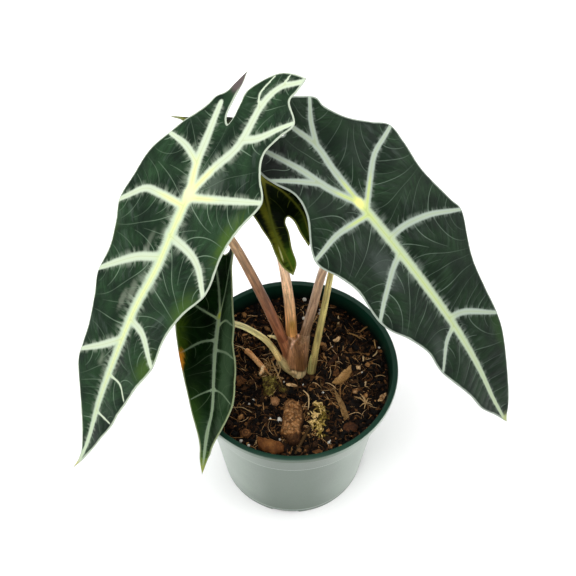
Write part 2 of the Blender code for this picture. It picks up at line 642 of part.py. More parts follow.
def add_litter(name, middle, half, turn, tall, rough, look, seed):
    """A rough piece with a flat underside that lies on its spot of the soil."""
    made = bmesh.new()
    bmesh.ops.create_icosphere(made, subdivisions=2, radius=1.0)
    shift = Vector((seed * 3.1, seed * 1.7, seed * 0.9))
    for vertex in made.verts:
        spot = vertex.co.copy()
        lump = 1.0 + 0.16 * rough * noise.noise(spot * 1.7 + shift)
        lump += 0.1 * rough * noise.noise(spot * 4 + shift)
        flat_top = math.copysign(abs(spot.z) ** 0.7, spot.z)
        vertex.co = Vector((spot.x * half[0] * lump, spot.y * half[1] * lump,
                            (0.5 + 0.5 * flat_top * lump) * tall)) * MM
    low = 0.18 * tall * MM
    cut = bmesh.ops.bisect_plane(made, geom=made.verts[:] + made.edges[:] + made.faces[:],
                                 plane_co=(0, 0, low), plane_no=(0, 0, -1), clear_outer=True, dist=1e-6)
    rim = [item for item in cut["geom_cut"] if isinstance(item, bmesh.types.BMEdge)]
    bmesh.ops.holes_fill(made, edges=rim)
    bmesh.ops.triangulate(made, faces=made.faces[:])
    bmesh.ops.translate(made, verts=made.verts[:], vec=(0, 0, -low))
    bmesh.ops.recalc_face_normals(made, faces=made.faces[:])
    mesh = bpy.data.meshes.new(name)
    made.to_mesh(mesh)
    made.free()
    mesh.materials.append(look)
    mesh.shade_smooth()
    mesh.set_sharp_from_angle(angle=math.radians(50))
    piece = bpy.data.objects.new(name, mesh)
    bpy.context.collection.objects.link(piece)
    piece.location = Vector((middle[0], middle[1], seat_height(middle) + GAP)) * MM
    piece.rotation_euler.z = math.radians(turn)
    return piece


def main():
    """Build the whole plant."""
    for old in list(bpy.data.objects):
        bpy.data.objects.remove(old)

    green = material("pot_green", (0.02, 0.07, 0.045), 0.42)
    mix = material("potting_mix", (0.02, 0.012, 0.006), 0.95)
    bark = material("bark", (0.16, 0.07, 0.03), 0.9)
    wood = material("wood", (0.3, 0.17, 0.08), 0.85)
    moss = material("moss", (0.3, 0.24, 0.07), 0.9)
    stone = material("stone", (0.35, 0.24, 0.14), 0.7)
    stem_look = material("stem_skin", (0.19, 0.09, 0.05), 0.5)
    brown = material("petiole_brown", (0.3, 0.17, 0.1), 0.45)
    pale = material("petiole_green", (0.42, 0.42, 0.2), 0.45)
    dark = material("blade_green", (0.02, 0.06, 0.035), 0.38)
    olive = material("young_blade", (0.012, 0.02, 0.01), 0.35)

    add_pot(green)
    add_soil(mix)
    looks = {"bark": bark, "wood": wood, "tan": wood, "leaf": moss, "pebble": stone, "moss": moss}
    for seed, (name, middle, half, turn, tall, rough) in enumerate(LITTER, 1):
        add_litter(name, middle, half, turn, tall, rough, looks[name.split("_")[0]], seed)
    add_stem(stem_look)
    add_petiole("petiole_left", LEFT_ROUTE, [2.7, 2.5, 2.2, 1.9], LEFT_BLADE, brown)
    add_petiole("petiole_middle", MIDDLE_ROUTE, [2.9, 2.5, 2.1, 1.8], BACK_BLADE, brown)
    add_petiole("petiole_right", RIGHT_ROUTE, [2.5, 2.2, 2.1, 1.9], RIGHT_BLADE, brown)
    add_petiole("petiole_low", LOW_ROUTE, [1.75, 1.6, 1.5, 1.4], LOW_BLADE, pale)
    points, faces = tube(spline(SPIKE_ROUTE, 8.0), SPIKE_RADII, 12)
    add_mesh("new_leaf_spike", points, faces, pale)
    add_blade("blade_left", LEFT_BLADE, 6.6, dark)
    add_blade("blade_right", RIGHT_BLADE, 6.6, dark)
    add_blade("blade_low", LOW_BLADE, 5.2, dark)
    add_blade("blade_back", BACK_BLADE, 5.6, olive)


main()
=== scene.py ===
"""Looks for the young mask plant in its nursery pot, laid out as an add-on.

Lengths are in millimetres here and become metres where a mesh is made.
"""

import json
import math
import random

import bmesh
import bpy
import numpy as np
from bpy.props import FloatProperty, FloatVectorProperty, IntProperty, PointerProperty
from mathutils import Matrix, Vector, noise
from mathutils.bvhtree import BVHTree
from mathutils.geometry import delaunay_2d_cdt
from mathutils.kdtree import KDTree

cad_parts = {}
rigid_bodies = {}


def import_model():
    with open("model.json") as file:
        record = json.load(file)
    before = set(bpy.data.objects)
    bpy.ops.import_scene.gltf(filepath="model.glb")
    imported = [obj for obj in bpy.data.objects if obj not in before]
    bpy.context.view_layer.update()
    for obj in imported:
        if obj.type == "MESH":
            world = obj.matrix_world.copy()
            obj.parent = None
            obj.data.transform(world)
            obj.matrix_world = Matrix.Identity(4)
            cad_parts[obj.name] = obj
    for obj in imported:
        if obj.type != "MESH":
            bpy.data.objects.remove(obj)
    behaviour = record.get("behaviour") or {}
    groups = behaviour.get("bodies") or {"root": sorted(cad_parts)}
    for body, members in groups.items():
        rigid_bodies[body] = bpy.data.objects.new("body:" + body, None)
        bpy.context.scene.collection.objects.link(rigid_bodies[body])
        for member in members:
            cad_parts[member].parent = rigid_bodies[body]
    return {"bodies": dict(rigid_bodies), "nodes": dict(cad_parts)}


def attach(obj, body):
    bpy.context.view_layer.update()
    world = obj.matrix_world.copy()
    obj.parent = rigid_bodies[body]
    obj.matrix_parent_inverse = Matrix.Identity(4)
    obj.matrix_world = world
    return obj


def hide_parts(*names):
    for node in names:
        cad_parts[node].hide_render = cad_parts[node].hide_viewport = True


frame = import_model()
for spare in [item for item in bpy.context.scene.objects
              if item not in (*frame["bodies"].values(), *frame["nodes"].values())]:
    bpy.data.objects.remove(spare)
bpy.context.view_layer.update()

bl_info = {
    "name": "Potted mask plant",
    "version": (1, 0, 0),
    "blender": (4, 5, 0),
    "location": "3D View > Sidebar > Mask plant",
    "description": "Dresses the packed mask plant with fine leaves, stalks, soil and pot",
    "category": "Object",
}

MM = 0.001
PAINT = 0.75          # dims the paints, as the studio's light is bright
TURN = 2 * math.pi
ROW = 0.87            # step between the rows of a triangular grid whose spacing is 1
NOISE_SEED = 5        # keeps the ragged edges of the loose pieces the same in each run

# Pot, as in the solids
POT_HEIGHT = 91.0
RIM_RADIUS = 54.0
RIM_HEIGHT = 3.0
RIM_WIDTH = 2.8
COLLAR_TOP_RADIUS = 52.2
COLLAR_RADIUS = 49.2
BODY_RADIUS = 46.8
BASE_RADIUS = 39.3
WALL = 1.4
FOOT_HEIGHT = 3.0
FLOOR = 1.8
CENTRE_RADIUS = 16.0
CENTRE_SLOPE = 1.6
COLLAR = 70.5
LEDGE = COLLAR + 2 * WALL
POT_FLOOR = FOOT_HEIGHT + FLOOR
NOTCH_WIDTH = 15.0
NOTCH_HEIGHT = 1.8
NOTCH_COUNT = 4
NOTCH_TURN = -96.0
DRAIN_RADIUS = 4.0
DRAIN_CIRCLE = 28.0

# Soil, as in the solids
SOIL_LEVEL = 82.0
SOIL_CLEARANCE = 0.6
STEM_SPOT = (2.6, 1.9)
SPIKE_SPOT = (10.0, 1.5)
SEAT_MARGIN = 1.5
SEATS = {
    "bark_chunk": ((-0.6, -27), (5.8, 12), 4, 8.0),
    "bark_chip_front": ((-11, -42), (7.5, 4.2), -18, 3.4),
    "bark_chip_right": ((29, -31.5), (4.2, 3.2), 10, 3.0),
    "bark_chip_left": ((-24, -35), (3.0, 2.4), 20, 2.4),
    "wood_splinter": ((-20.5, 8.5), (2.2, 10.5), 38, 3.6),
    "tan_chip": ((25.0, 0.5), (7.0, 2.4), 44, 3.0),
    "leaf_sliver": ((24.8, -16.5), (2.0, 10.5), 21, 1.6),
    "pebble": ((-9.5, -16.5), (2.7, 2.4), 0, 3.2),
    "moss_tuft": ((13, -26), (4.6, 9.0), 26, 4.0)}

# Blades, as in the solids
RIB = 1.5
RIB_WIDTH = 1.7
QUILT = 1.1
QUILT_WIDTH = 8.0

# Veins
VEIN_STEP = 0.5       # between the samples of a main vein
BLEND = 6.0           # how sharply the bands of two veins that meet are joined
HAIR_STEP = 0.9       # between the points of a fine vein
HAIR_POINTS = 80      # the most points that a fine vein has
SIDE_TAPER = 0.5      # share of its width that a side vein has lost at its end


def smooth(value):
    """Ease from 0 to 1, flat at both ends."""
    value = np.clip(value, 0.0, 1.0)
    return value * value * (3.0 - 2.0 * value)


def spline(points, step):
    """A smooth line through the points, with a point about every step."""
    points = [np.array(point, float) for point in points]
    padded = [2 * points[0] - points[1]] + points + [2 * points[-1] - points[-2]]
    line = [points[0]]
    for before, start, end, after in zip(padded, padded[1:], padded[2:], padded[3:]):
        count = max(1, round(float(np.linalg.norm(end - start)) / step))
        for index in range(1, count + 1):
            t = index / count
            line.append(0.5 * (2 * start + (end - before) * t
                               + (2 * before - 5 * start + 4 * end - after) * t * t
                               + (3 * start - before - 3 * end + after) * t ** 3))
    return line


def lengths(line):
    """How far along the line each of its points is."""
    line = np.array(line)
    return np.concatenate([[0.0], np.cumsum(np.linalg.norm(np.diff(line, axis=0), axis=1))])


def unit(vectors):
    """The vector or rows of vectors, made 1 long."""
    return vectors / np.maximum(np.linalg.norm(vectors, axis=-1, keepdims=True), 1e-9)


def circle(count):
    """The angles of so many points round a circle."""
    return np.linspace(0, TURN, count, endpoint=False)


def strips(rings):
    """Faces between rings of point numbers, each ring joined to the next one."""
    faces = []
    for lower, upper in zip(rings, rings[1:]):
        for index, after in enumerate([*range(1, len(lower)), 0]):
            faces.append(tuple(dict.fromkeys((lower[index], lower[after], upper[after], upper[index]))))
    return faces


def lumps(points, scale, shift, size=1.0):
    """Noise at each of the points, flat or not."""
    return size * np.array([noise.noise(Vector((*point, 0)[:3]) * scale + shift) for point in points])


def stretched(values, count):
    """Evenly spaced values read at so many even places."""
    return np.interp(np.linspace(0, 1, count), np.linspace(0, 1, len(values)), values)


# Materials


class Wire:
    """An output of a node, which takes part in sums like a number."""

    def __init__(self, look, socket):
        self.look, self.socket = look, socket

    def __add__(self, other):
        return self.look.math("ADD", self, other)

    def __sub__(self, other):
        return self.look.math("SUBTRACT", self, other)

    def __mul__(self, other):
        return self.look.math("MULTIPLY", self, other)

    def __truediv__(self, other):
        return self.look.math("DIVIDE", self, other)

    def __pow__(self, other):
        return self.look.math("POWER", self, other)

    def __abs__(self):
        return self.look.math("ABSOLUTE", self)


class Look:
    """A material whose nodes are added one after another."""

    def __init__(self, name, **sockets):
        self.material = bpy.data.materials.new(name)
        self.material.use_nodes = True
        self.tree = self.material.node_tree
        self.shader = self.tree.nodes["Principled BSDF"]
        for key, value in sockets.items():
            self.shader.inputs[key.replace("_", " ")].default_value = value

    def node(self, kind, inputs, output=0, **settings):
        """The output of a new node, whose inputs are values or other nodes' outputs."""
        made = self.tree.nodes.new("ShaderNode" + kind)
        for key, value in settings.items():
            setattr(made, key, value)
        for key, value in inputs.items():
            socket = made.inputs[key]
            if isinstance(value, Wire):
                self.tree.links.new(value.socket, socket)
            else:
                socket.default_value = (*value, 1.0) if socket.type == "RGBA" else value
        return Wire(self, made.outputs[output])

    def math(self, operation, first, second=0.0):
        """A Math node."""
        return self.node("Math", {0: first, 1: second}, operation=operation)

    def space(self, operation, first, second=(0.0, 0.0, 0.0), output="Vector"):
        """A Vector Math node."""
        return self.node("VectorMath", {0: first, 1: second}, output, operation=operation)

    def scaled(self, vector, factor):
        """The vector or colour times a number."""
        return self.node("VectorMath", {0: vector, "Scale": factor}, operation="SCALE")

    def place(self):
        """The spot on the piece, in millimetres."""
        return self.scaled(self.node("TexCoord", {}, "Object"), 1.0 / MM)

    def measure(self, name, output="Fac"):
        """A number, vector or colour that the mesh carries at each point."""
        return self.node("Attribute", {}, output, attribute_name=name)

    def part(self, spot, axis):
        """One of the three numbers of a vector."""
        return self.node("SeparateXYZ", {0: spot}, axis)

    def vector(self, x, y, z=0.0):
        """A vector of three numbers."""
        return self.node("CombineXYZ", {0: x, 1: y, 2: z})

    def noise(self, spot, scale, detail=2.0, roughness=0.5, distortion=0.0, output="Fac"):
        """Soft noise around 0.5."""
        return self.node("TexNoise", {"Vector": spot, "Scale": scale, "Detail": detail,
                                      "Roughness": roughness, "Distortion": distortion}, output)

    def cells(self, spot, scale):
        """The distance from the middles of a pattern of cells."""
        return self.node("TexVoronoi", {"Vector": spot, "Scale": scale}, "Distance")

    def cell_tone(self, spot, scale):
        """A random number for each of the cells."""
        tone = self.node("TexVoronoi", {"Vector": spot, "Scale": scale}, "Color")
        return self.node("SeparateColor", {0: tone})

    def step(self, value, low, high, start=0.0, end=1.0):
        """An eased step from start at low to end at high."""
        return self.node("MapRange", {"Value": value, "From Min": low, "From Max": high, "To Min": start,
                                      "To Max": end}, interpolation_type="SMOOTHSTEP")

    def fall(self, value, low, high, start=1.0):
        """An eased fall from start at low to 0 at high."""
        return self.step(value, low, high, start, 0.0)

    def mix(self, share, first, second):
        """The second colour laid over the first."""
        return self.node("Mix", {0: share, 6: first, 7: second}, 2, data_type="RGBA")

    def ramp(self, value, *stops):
        """Colours between positions. A stop is its position and its red, green and blue."""
        made = self.node("ValToRGB", {0: value})
        points = made.socket.node.color_ramp.elements
        while len(points) < len(stops):
            points.new(0.5)
        for point, (position, *colour) in zip(points, stops):
            point.position = position
            point.color = (*linear(*colour), 1.0)
        return made

    def brighten(self, colour, low, high, value):
        """The colour made darker or lighter by a value from 0 to 1."""
        factor = self.node("MapRange", {"Value": value, "From Min": 0.25, "From Max": 0.75,
                                        "To Min": low, "To Max": high})
        return self.scaled(colour, factor)

    def bump(self, height, strength, distance=0.4):
        """Fine relief, with distance in millimetres."""
        return self.node("Bump", {"Height": height, "Strength": strength, "Distance": distance * MM})

    def finish(self, colour, roughness=None, normal=None):
        """Join the results to the shader."""
        for key, wire in (("Base Color", colour), ("Roughness", roughness), ("Normal", normal)):
            if wire is not None:
                self.tree.links.new(wire.socket, self.shader.inputs[key])
        return self.material


def linear(red, green, blue):
    """A paint that looks like the 0 to 255 of a screen in the studio's bright light."""
    return tuple(PAINT * ((value / 255.0 / 12.92) if value < 10.3
                          else ((value / 255.0 + 0.055) / 1.055) ** 2.4)
                 for value in (red, green, blue))


# Meshes


def linked(name, data):
    """A new object in the scene."""
    made = bpy.data.objects.new(name, data)
    bpy.context.scene.collection.objects.link(made)
    return made


def new_piece(name, points, faces, looks, picks=None, sharp=50.0):
    """An object from points in millimetres, with a material number for each face."""
    mesh = bpy.data.meshes.new(name)
    mesh.from_pydata((np.asarray(points, float) * MM).tolist(), [], [list(face) for face in faces])
    for look in looks:
        mesh.materials.append(look)
    if picks is not None:
        mesh.polygons.foreach_set("material_index", np.asarray(picks, np.int32))
    mesh.update()
    mesh.shade_smooth()
    if sharp is not None:
        mesh.set_sharp_from_angle(angle=math.radians(sharp))
    return linked(name, mesh)


def carry(made, name, values, vector=False):
    """Keep a number, a vector or a colour at each point of the piece."""
    values = np.asarray(values, np.float32)
    if values.ndim == 1:
        kind, field = "FLOAT", "value"
    elif vector or values.shape[1] == 2:
        kind, field = "FLOAT_VECTOR", "vector"
        values = np.pad(values, ((0, 0), (0, 3 - values.shape[1])))
    else:
        kind, field = "FLOAT_COLOR", "color"
        values = np.pad(values, ((0, 0), (0, 1)), constant_values=1.0)
    made.data.attributes.new(name, kind, "POINT").data.foreach_set(field, values.ravel())


def keep(made, slot, *nodes):
    """Ride with the plant and stand for the nodes."""
    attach(made, "root")
    if nodes:
        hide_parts(*nodes)
    return made


def settle(made):
    """Turn the piece's modifiers into its mesh."""
    graph = bpy.context.evaluated_depsgraph_get()
    mesh = bpy.data.meshes.new_from_object(made.evaluated_get(graph))
    made.modifiers.clear()
    made.data = mesh
    mesh.shade_smooth()
    return mesh


def tube(path, radii, sides, first=(1.0, 0.0, 0.0)):
    """Points and faces of a round tube along the path, closed at both ends."""
    path = np.array(path, float)
    radii = stretched(radii, len(path))
    across, turns = np.array(first, float), circle(sides)
    points = []
    for centre, direction, radius in zip(path, unit(np.gradient(path, axis=0)), radii):
        across = unit(across - direction * float(across @ direction))
        other = np.cross(direction, across)
        points.append(centre + radius * (np.outer(np.cos(turns), across) + np.outer(np.sin(turns), other)))
    rings = [range(start, start + sides) for start in range(0, len(path) * sides, sides)]
    return np.concatenate(points), [*strips(rings), tuple(reversed(rings[0])), tuple(rings[-1])]


class Heap:
    """Many small closed pieces gathered into one mesh, each with a tone of its own."""

    def __init__(self):
        self.points, self.faces, self.tones, self.count = [], [], [], 0

    def add(self, points, faces, tone=0.0):
        """Add one piece."""
        self.points.append(np.asarray(points, float))
        self.faces += [tuple(index + self.count for index in face) for face in faces]
        self.tones.append(np.full(len(points), tone, np.float32))
        self.count += len(points)

    def build(self, name, look, slot, *nodes, sharp=40.0):
        """The gathered pieces as one object."""
        made = new_piece(name, np.concatenate(self.points), self.faces, [look], sharp=sharp)
        carry(made, "tone", np.concatenate(self.tones))
        return keep(made, slot, *nodes)


# Leaves. A blade is drawn flat: x runs across to its right, y from the stalk to the tip.


class Blade:
    """The form of one leaf blade, the same as its solid's.

    bend gives the turn of the spine at lengths along it, and folds the lift of the left
    and right half in degrees. cup curls each half, in degrees for each millimetre.
    """

    def __init__(self, node, heading, droop, roll, bend, folds, cup, ripple, outline, veins):
        self.node = np.array(node, float)
        self.folds, self.cup, self.ripple = folds, cup, ripple
        self.outline, self.veins = outline, veins
        heading, droop, roll = (math.radians(angle) for angle in (heading, droop, roll))
        ahead = np.array([math.cos(heading), math.sin(heading), 0.0])
        up = np.array([0.0, 0.0, 1.0])
        along = ahead * math.cos(droop) - up * math.sin(droop)
        face = ahead * math.sin(droop) + up * math.cos(droop)
        side = np.cross(along, face)
        self.axes = np.array([side * math.cos(roll) - face * math.sin(roll), along,
                              face * math.cos(roll) + side * math.sin(roll)])
        self.stations = np.arange(-110.0, 200.5, 0.5)
        turns = np.radians(np.interp(self.stations, [row[0] for row in bend], [row[1] for row in bend]))
        window = 21
        self.turns = np.convolve(np.pad(turns, window // 2, mode="edge"), np.ones(window) / window, "valid")
        self.ahead = np.cumsum(np.cos(self.turns)) * 0.5
        self.fall = -np.cumsum(np.sin(self.turns)) * 0.5
        zero = int(np.argmin(abs(self.stations)))
        self.ahead -= self.ahead[zero]
        self.fall -= self.fall[zero]

    def form(self, x, y):
        """The flat points in the blade's own axes, without relief."""
        right = x > 0
        rows = [row[0] for row in self.folds]
        fold = np.radians(np.where(right, np.interp(y, rows, [row[2] for row in self.folds]),
                                   np.interp(y, rows, [row[1] for row in self.folds])))
        curl = np.radians(np.where(right, self.cup[1], self.cup[0]))
        away = abs(x)
        across = (np.sin(fold + curl * away) - np.sin(fold)) / curl
        lift = (np.cos(fold) - np.cos(fold + curl * away)) / curl
        size, length, phase, start = (np.where(right, self.ripple[1][index], self.ripple[0][index])
                                      for index in range(4))
        lift = lift + smooth((away - start) / start) * size * np.sin(TURN * (y / length + phase))
        turn = np.interp(y, self.stations, self.turns)
        ahead = np.interp(y, self.stations, self.ahead) + lift * np.sin(turn)
        fall = np.interp(y, self.stations, self.fall) + lift * np.cos(turn)
        return np.column_stack([np.where(right, across, -across), ahead, fall])

    def normal(self, x, y, step=0.25):
        """The upward normals of the form."""
        across = self.form(x + step, y) - self.form(x - step, y)
        along = self.form(x, y + step) - self.form(x, y - step)
        return unit(np.cross(across, along))

    def rim(self, step):
        """The outline as a closed row of flat points."""
        return [point for side in self.outline for point in spline(side, step)[:-1]]

    def world(self, local):
        """Points in the blade's own axes, placed in the plant."""
        return self.node + local @ self.axes

    def seat(self):
        """The middle of the blade where the stalk meets it, and its normal there."""
        zero = np.zeros(1)
        up = self.normal(zero, zero)
        return self.world(self.form(zero, zero))[0], (up @ self.axes)[0]


class Veins:
    """Samples along the main veins of a blade, for measuring from them."""

    def __init__(self, blade, band, taper, outline):
        spots, tangents, half, strength, along, which = [], [], [], [], [], []
        start = 0.0
        self.lines = []
        for index, (width, line) in enumerate(blade.veins):
            line = spline(line, VEIN_STEP)
            ahead = unit(line[-1] - line[-4])
            spare = [line[-1] + ahead * VEIN_STEP * step for step in range(1, 15)]
            within = inside(spare, outline)
            line = np.array(line + spare[:len(spare) if within.all() else int(np.argmin(within))])
            self.lines.append(line)
            share = np.linspace(0.0, 1.0, len(line))
            spots.append(line)
            tangents.append(unit(np.gradient(line, axis=0)))
            half.append(np.interp(width, *band) * (1.0 - (SIDE_TAPER if index else taper) * share ** 2))
            strength.append(width * (1.0 - 0.75 * share))
            along.append(start + lengths(line))
            which.append(np.full(len(line), index))
            start = along[-1][-1] + 37.0
        self.spots, self.tangents = np.concatenate(spots), np.concatenate(tangents)
        self.half, self.strength = np.concatenate(half), np.concatenate(strength)
        self.along, self.which = np.concatenate(along), np.concatenate(which)
        self.count = len(blade.veins)

    def near(self, points):
        """For each point: distance, band share, rib, place along and distance to the next vein."""
        points = np.asarray(points, float)
        away, second = np.full(len(points), 1e9), np.full(len(points), 1e9)
        share = np.full(len(points), 1e-30)
        rib, along = np.zeros(len(points)), np.zeros(len(points))
        for index in range(self.count):
            mine = self.which == index
            spots = self.spots[mine]
            gap = np.hypot(points[:, 0, None] - spots[:, 0], points[:, 1, None] - spots[:, 1])
            closest = gap.argmin(axis=1)
            far = gap[np.arange(len(points)), closest]
            rib = np.maximum(rib, self.strength[mine][closest] * np.exp(-(far / RIB_WIDTH) ** 2))
            share += np.exp(-BLEND * np.minimum(far / self.half[mine][closest], 10.0))
            nearer = far < away
            second = np.where(nearer, away, np.minimum(second, far))
            away = np.where(nearer, far, away)
            along = np.where(nearer, self.along[mine][closest], along)
        return away, np.maximum(-np.log(share) / BLEND, 0.0), rib, along, second


def inside(points, edge):
    """Which flat points lie inside the closed outline."""
    x, y = np.asarray(points, float).T[:, :, None]
    first = np.asarray(edge, float)
    second = np.roll(first, -1, axis=0)
    rise = second[:, 1] - first[:, 1]
    rise[rise == 0.0] = 1e-9
    spans = (first[:, 1] > y) != (second[:, 1] > y)
    crossing = first[:, 0] + (y - first[:, 1]) * (second[:, 0] - first[:, 0]) / rise
    return (spans & (x < crossing)).sum(axis=1) % 2 == 1


class Flow:
    """A smooth field over the flat blade that rises from 0 on the main veins to 1 at the margin."""

    def __init__(self, veins, edge, cell=1.0, rounds=500):
        low, high = np.min(edge, axis=0) - 2 * cell, np.max(edge, axis=0) + 2 * cell
        columns, rows = (int(size / cell) + 1 for size in high - low)
        x, y = np.meshgrid(low[0] + cell * np.arange(columns), low[1] + cell * np.arange(rows))
        spots = np.column_stack([x.ravel(), y.ravel()])
        away = veins.near(spots)[0]
        rim = np.hypot(*(spots[:, None] - np.array(edge)[None]).transpose(2, 0, 1)).min(axis=1)
        within = inside(spots, edge)
        level = np.where(within, away / (away + rim), 1.0).reshape(rows, columns)
        free = (within & (away > 0.6 * cell)).reshape(rows, columns)[1:-1, 1:-1]
        level[1:-1, 1:-1][~free & (away < 0.6 * cell).reshape(rows, columns)[1:-1, 1:-1]] = 0.0
        for _ in range(rounds):
            mean = (level[:-2, 1:-1] + level[2:, 1:-1] + level[1:-1, :-2] + level[1:-1, 2:]) / 4
            level[1:-1, 1:-1] = np.where(free, mean, level[1:-1, 1:-1])
        self.low, self.cell = low, cell
        self.slope = np.stack(np.gradient(level, cell)[::-1], axis=2)

    def heading(self, point):
        """The direction of the steepest rise at a flat point."""
        place = (point - self.low) / self.cell
        column, row = (int(value) for value in place)
        across, up = place - (column, row)
        box = self.slope[row:row + 2, column:column + 2]
        slope = (box[0, 0] * (1 - across) + box[0, 1] * across) * (1 - up)
        slope = slope + (box[1, 0] * (1 - across) + box[1, 1] * across) * up
        return slope / (np.linalg.norm(slope) + 1e-9)


def fine_veins(veins, edge, seed, pitch):
    """Lines that leave the main veins squarely and arch to the margin."""
    chance = random.Random(seed)
    flow, border = Flow(veins, edge), np.array(edge)
    starts = []
    for index, line in enumerate(veins.lines):
        measured = lengths(line)
        for side in (-1, 1):
            place, turn = 1.5 + pitch * chance.random(), chance.randint(0, 1)
            while place < measured[-1] - 2.0:
                spot = int(np.searchsorted(measured, place))
                starts.append((turn % 2, chance.random(), index, side, spot))
                place += pitch * chance.uniform(0.7, 1.3)
                turn += 1
    starts.sort(key=lambda row: (row[0], row[1]))
    lines, laid = [], np.zeros((0, 2))
    for faint, _, index, side, spot in starts:
        mine = np.flatnonzero(veins.which == index)
        source = mine[min(spot, len(mine) - 1)]
        tangent = veins.tangents[source]
        heading = np.array([-tangent[1], tangent[0]]) * side
        point = veins.spots[source] + heading * HAIR_STEP
        line = [point]
        lean, sway = chance.uniform(0.15, 0.4), chance.uniform(-0.12, 0.12)
        while len(line) < HAIR_POINTS:
            wanted = flow.heading(point) + tangent * lean * math.exp(-len(line) / 8.0)
            wanted = wanted + np.array([-wanted[1], wanted[0]]) * sway * math.sin(len(line) * 0.3)
            heading = unit(heading + wanted)
            after = point + heading * HAIR_STEP
            if not inside([after], edge)[0] or np.hypot(*(border - after).T).min() < 0.5:
                break
            if len(laid) and np.hypot(*(laid - after).T).min() < 0.55 * pitch:
                break
            line.append(after)
            point = after
        if len(line) > 4:
            lines.append((chance.uniform(0.12, 0.35) if faint else chance.uniform(0.4, 1.0), line))
            laid = np.concatenate([laid, np.array(line)])
    return lines


def spot_tree(spots):
    """A tree that finds the nearest of the flat spots."""
    tree = KDTree(len(spots))
    for index, spot in enumerate(spots):
        tree.insert((spot[0], spot[1], 0.0), index)
    tree.balance()
    return tree


def grid_within(edge, spacing):
    """The spots of a triangular grid that lie inside the closed outline."""
    low, high = np.min(edge, axis=0), np.max(edge, axis=0)
    rise = spacing * ROW
    grid = np.array([(low[0] + (column + 0.5 * (row % 2)) * spacing, low[1] + row * rise)
                     for row in range(int((high[1] - low[1]) / rise) + 1)
                     for column in range(int((high[0] - low[0]) / spacing) + 1)])
    return grid[inside(grid, edge)]


def facing_up(flat, faces):
    """The flat triangles, all turned to face up."""
    a, b, c = (flat[faces[:, index]] for index in range(3))
    down = (b[:, 0] - a[:, 0]) * (c[:, 1] - a[:, 1]) - (b[:, 1] - a[:, 1]) * (c[:, 0] - a[:, 0]) < 0
    faces[down] = faces[down][:, ::-1]
    return faces


def flat_mesh(blade, veins, fine, spacing):
    """Flat points and triangles that keep the outline and all the vein lines."""
    edge = blade.rim(spacing * 0.9)
    chains, points = [], list(edge)
    stride = max(1, round(spacing / VEIN_STEP))
    for line in [list(line[:-2:stride]) for line in veins.lines] + [line for _, line in fine]:
        chains.append(range(len(points), len(points) + len(line)))
        points += line
    tree = spot_tree(points)
    free = [point for point in grid_within(edge, spacing)
            if tree.find((point[0], point[1], 0.0))[2] > 0.55 * spacing]
    links = [(first, second) for chain in chains for first, second in zip(chain, chain[1:])]
    cut = delaunay_2d_cdt([Vector(point) for point in points + free], links, [list(range(len(edge)))],
                          1, 1e-3)
    flat = np.array([(point[0], point[1]) for point in cut[0]])
    return flat, facing_up(flat, np.array([list(face) for face in cut[2]]))


def reach(points, lines, fade=0.0, step=0.3):
    """Distance to the nearest of the lines, and that line's value, which may fade along it."""
    spots, values = [], []
    for value, line in lines:
        for index, (first, second) in enumerate(zip(line, line[1:])):
            count = max(1, int(np.linalg.norm(second - first) / step))
            for part in range(count):
                spots.append(first + (second - first) * part / count)
                values.append(value * (1.0 - fade * (index / len(line)) ** 2))
    tree = spot_tree(spots)
    found = [tree.find((point[0], point[1], 0.0)) for point in points]
    return np.array([row[2] for row in found]), np.array([values[row[1]] for row in found])


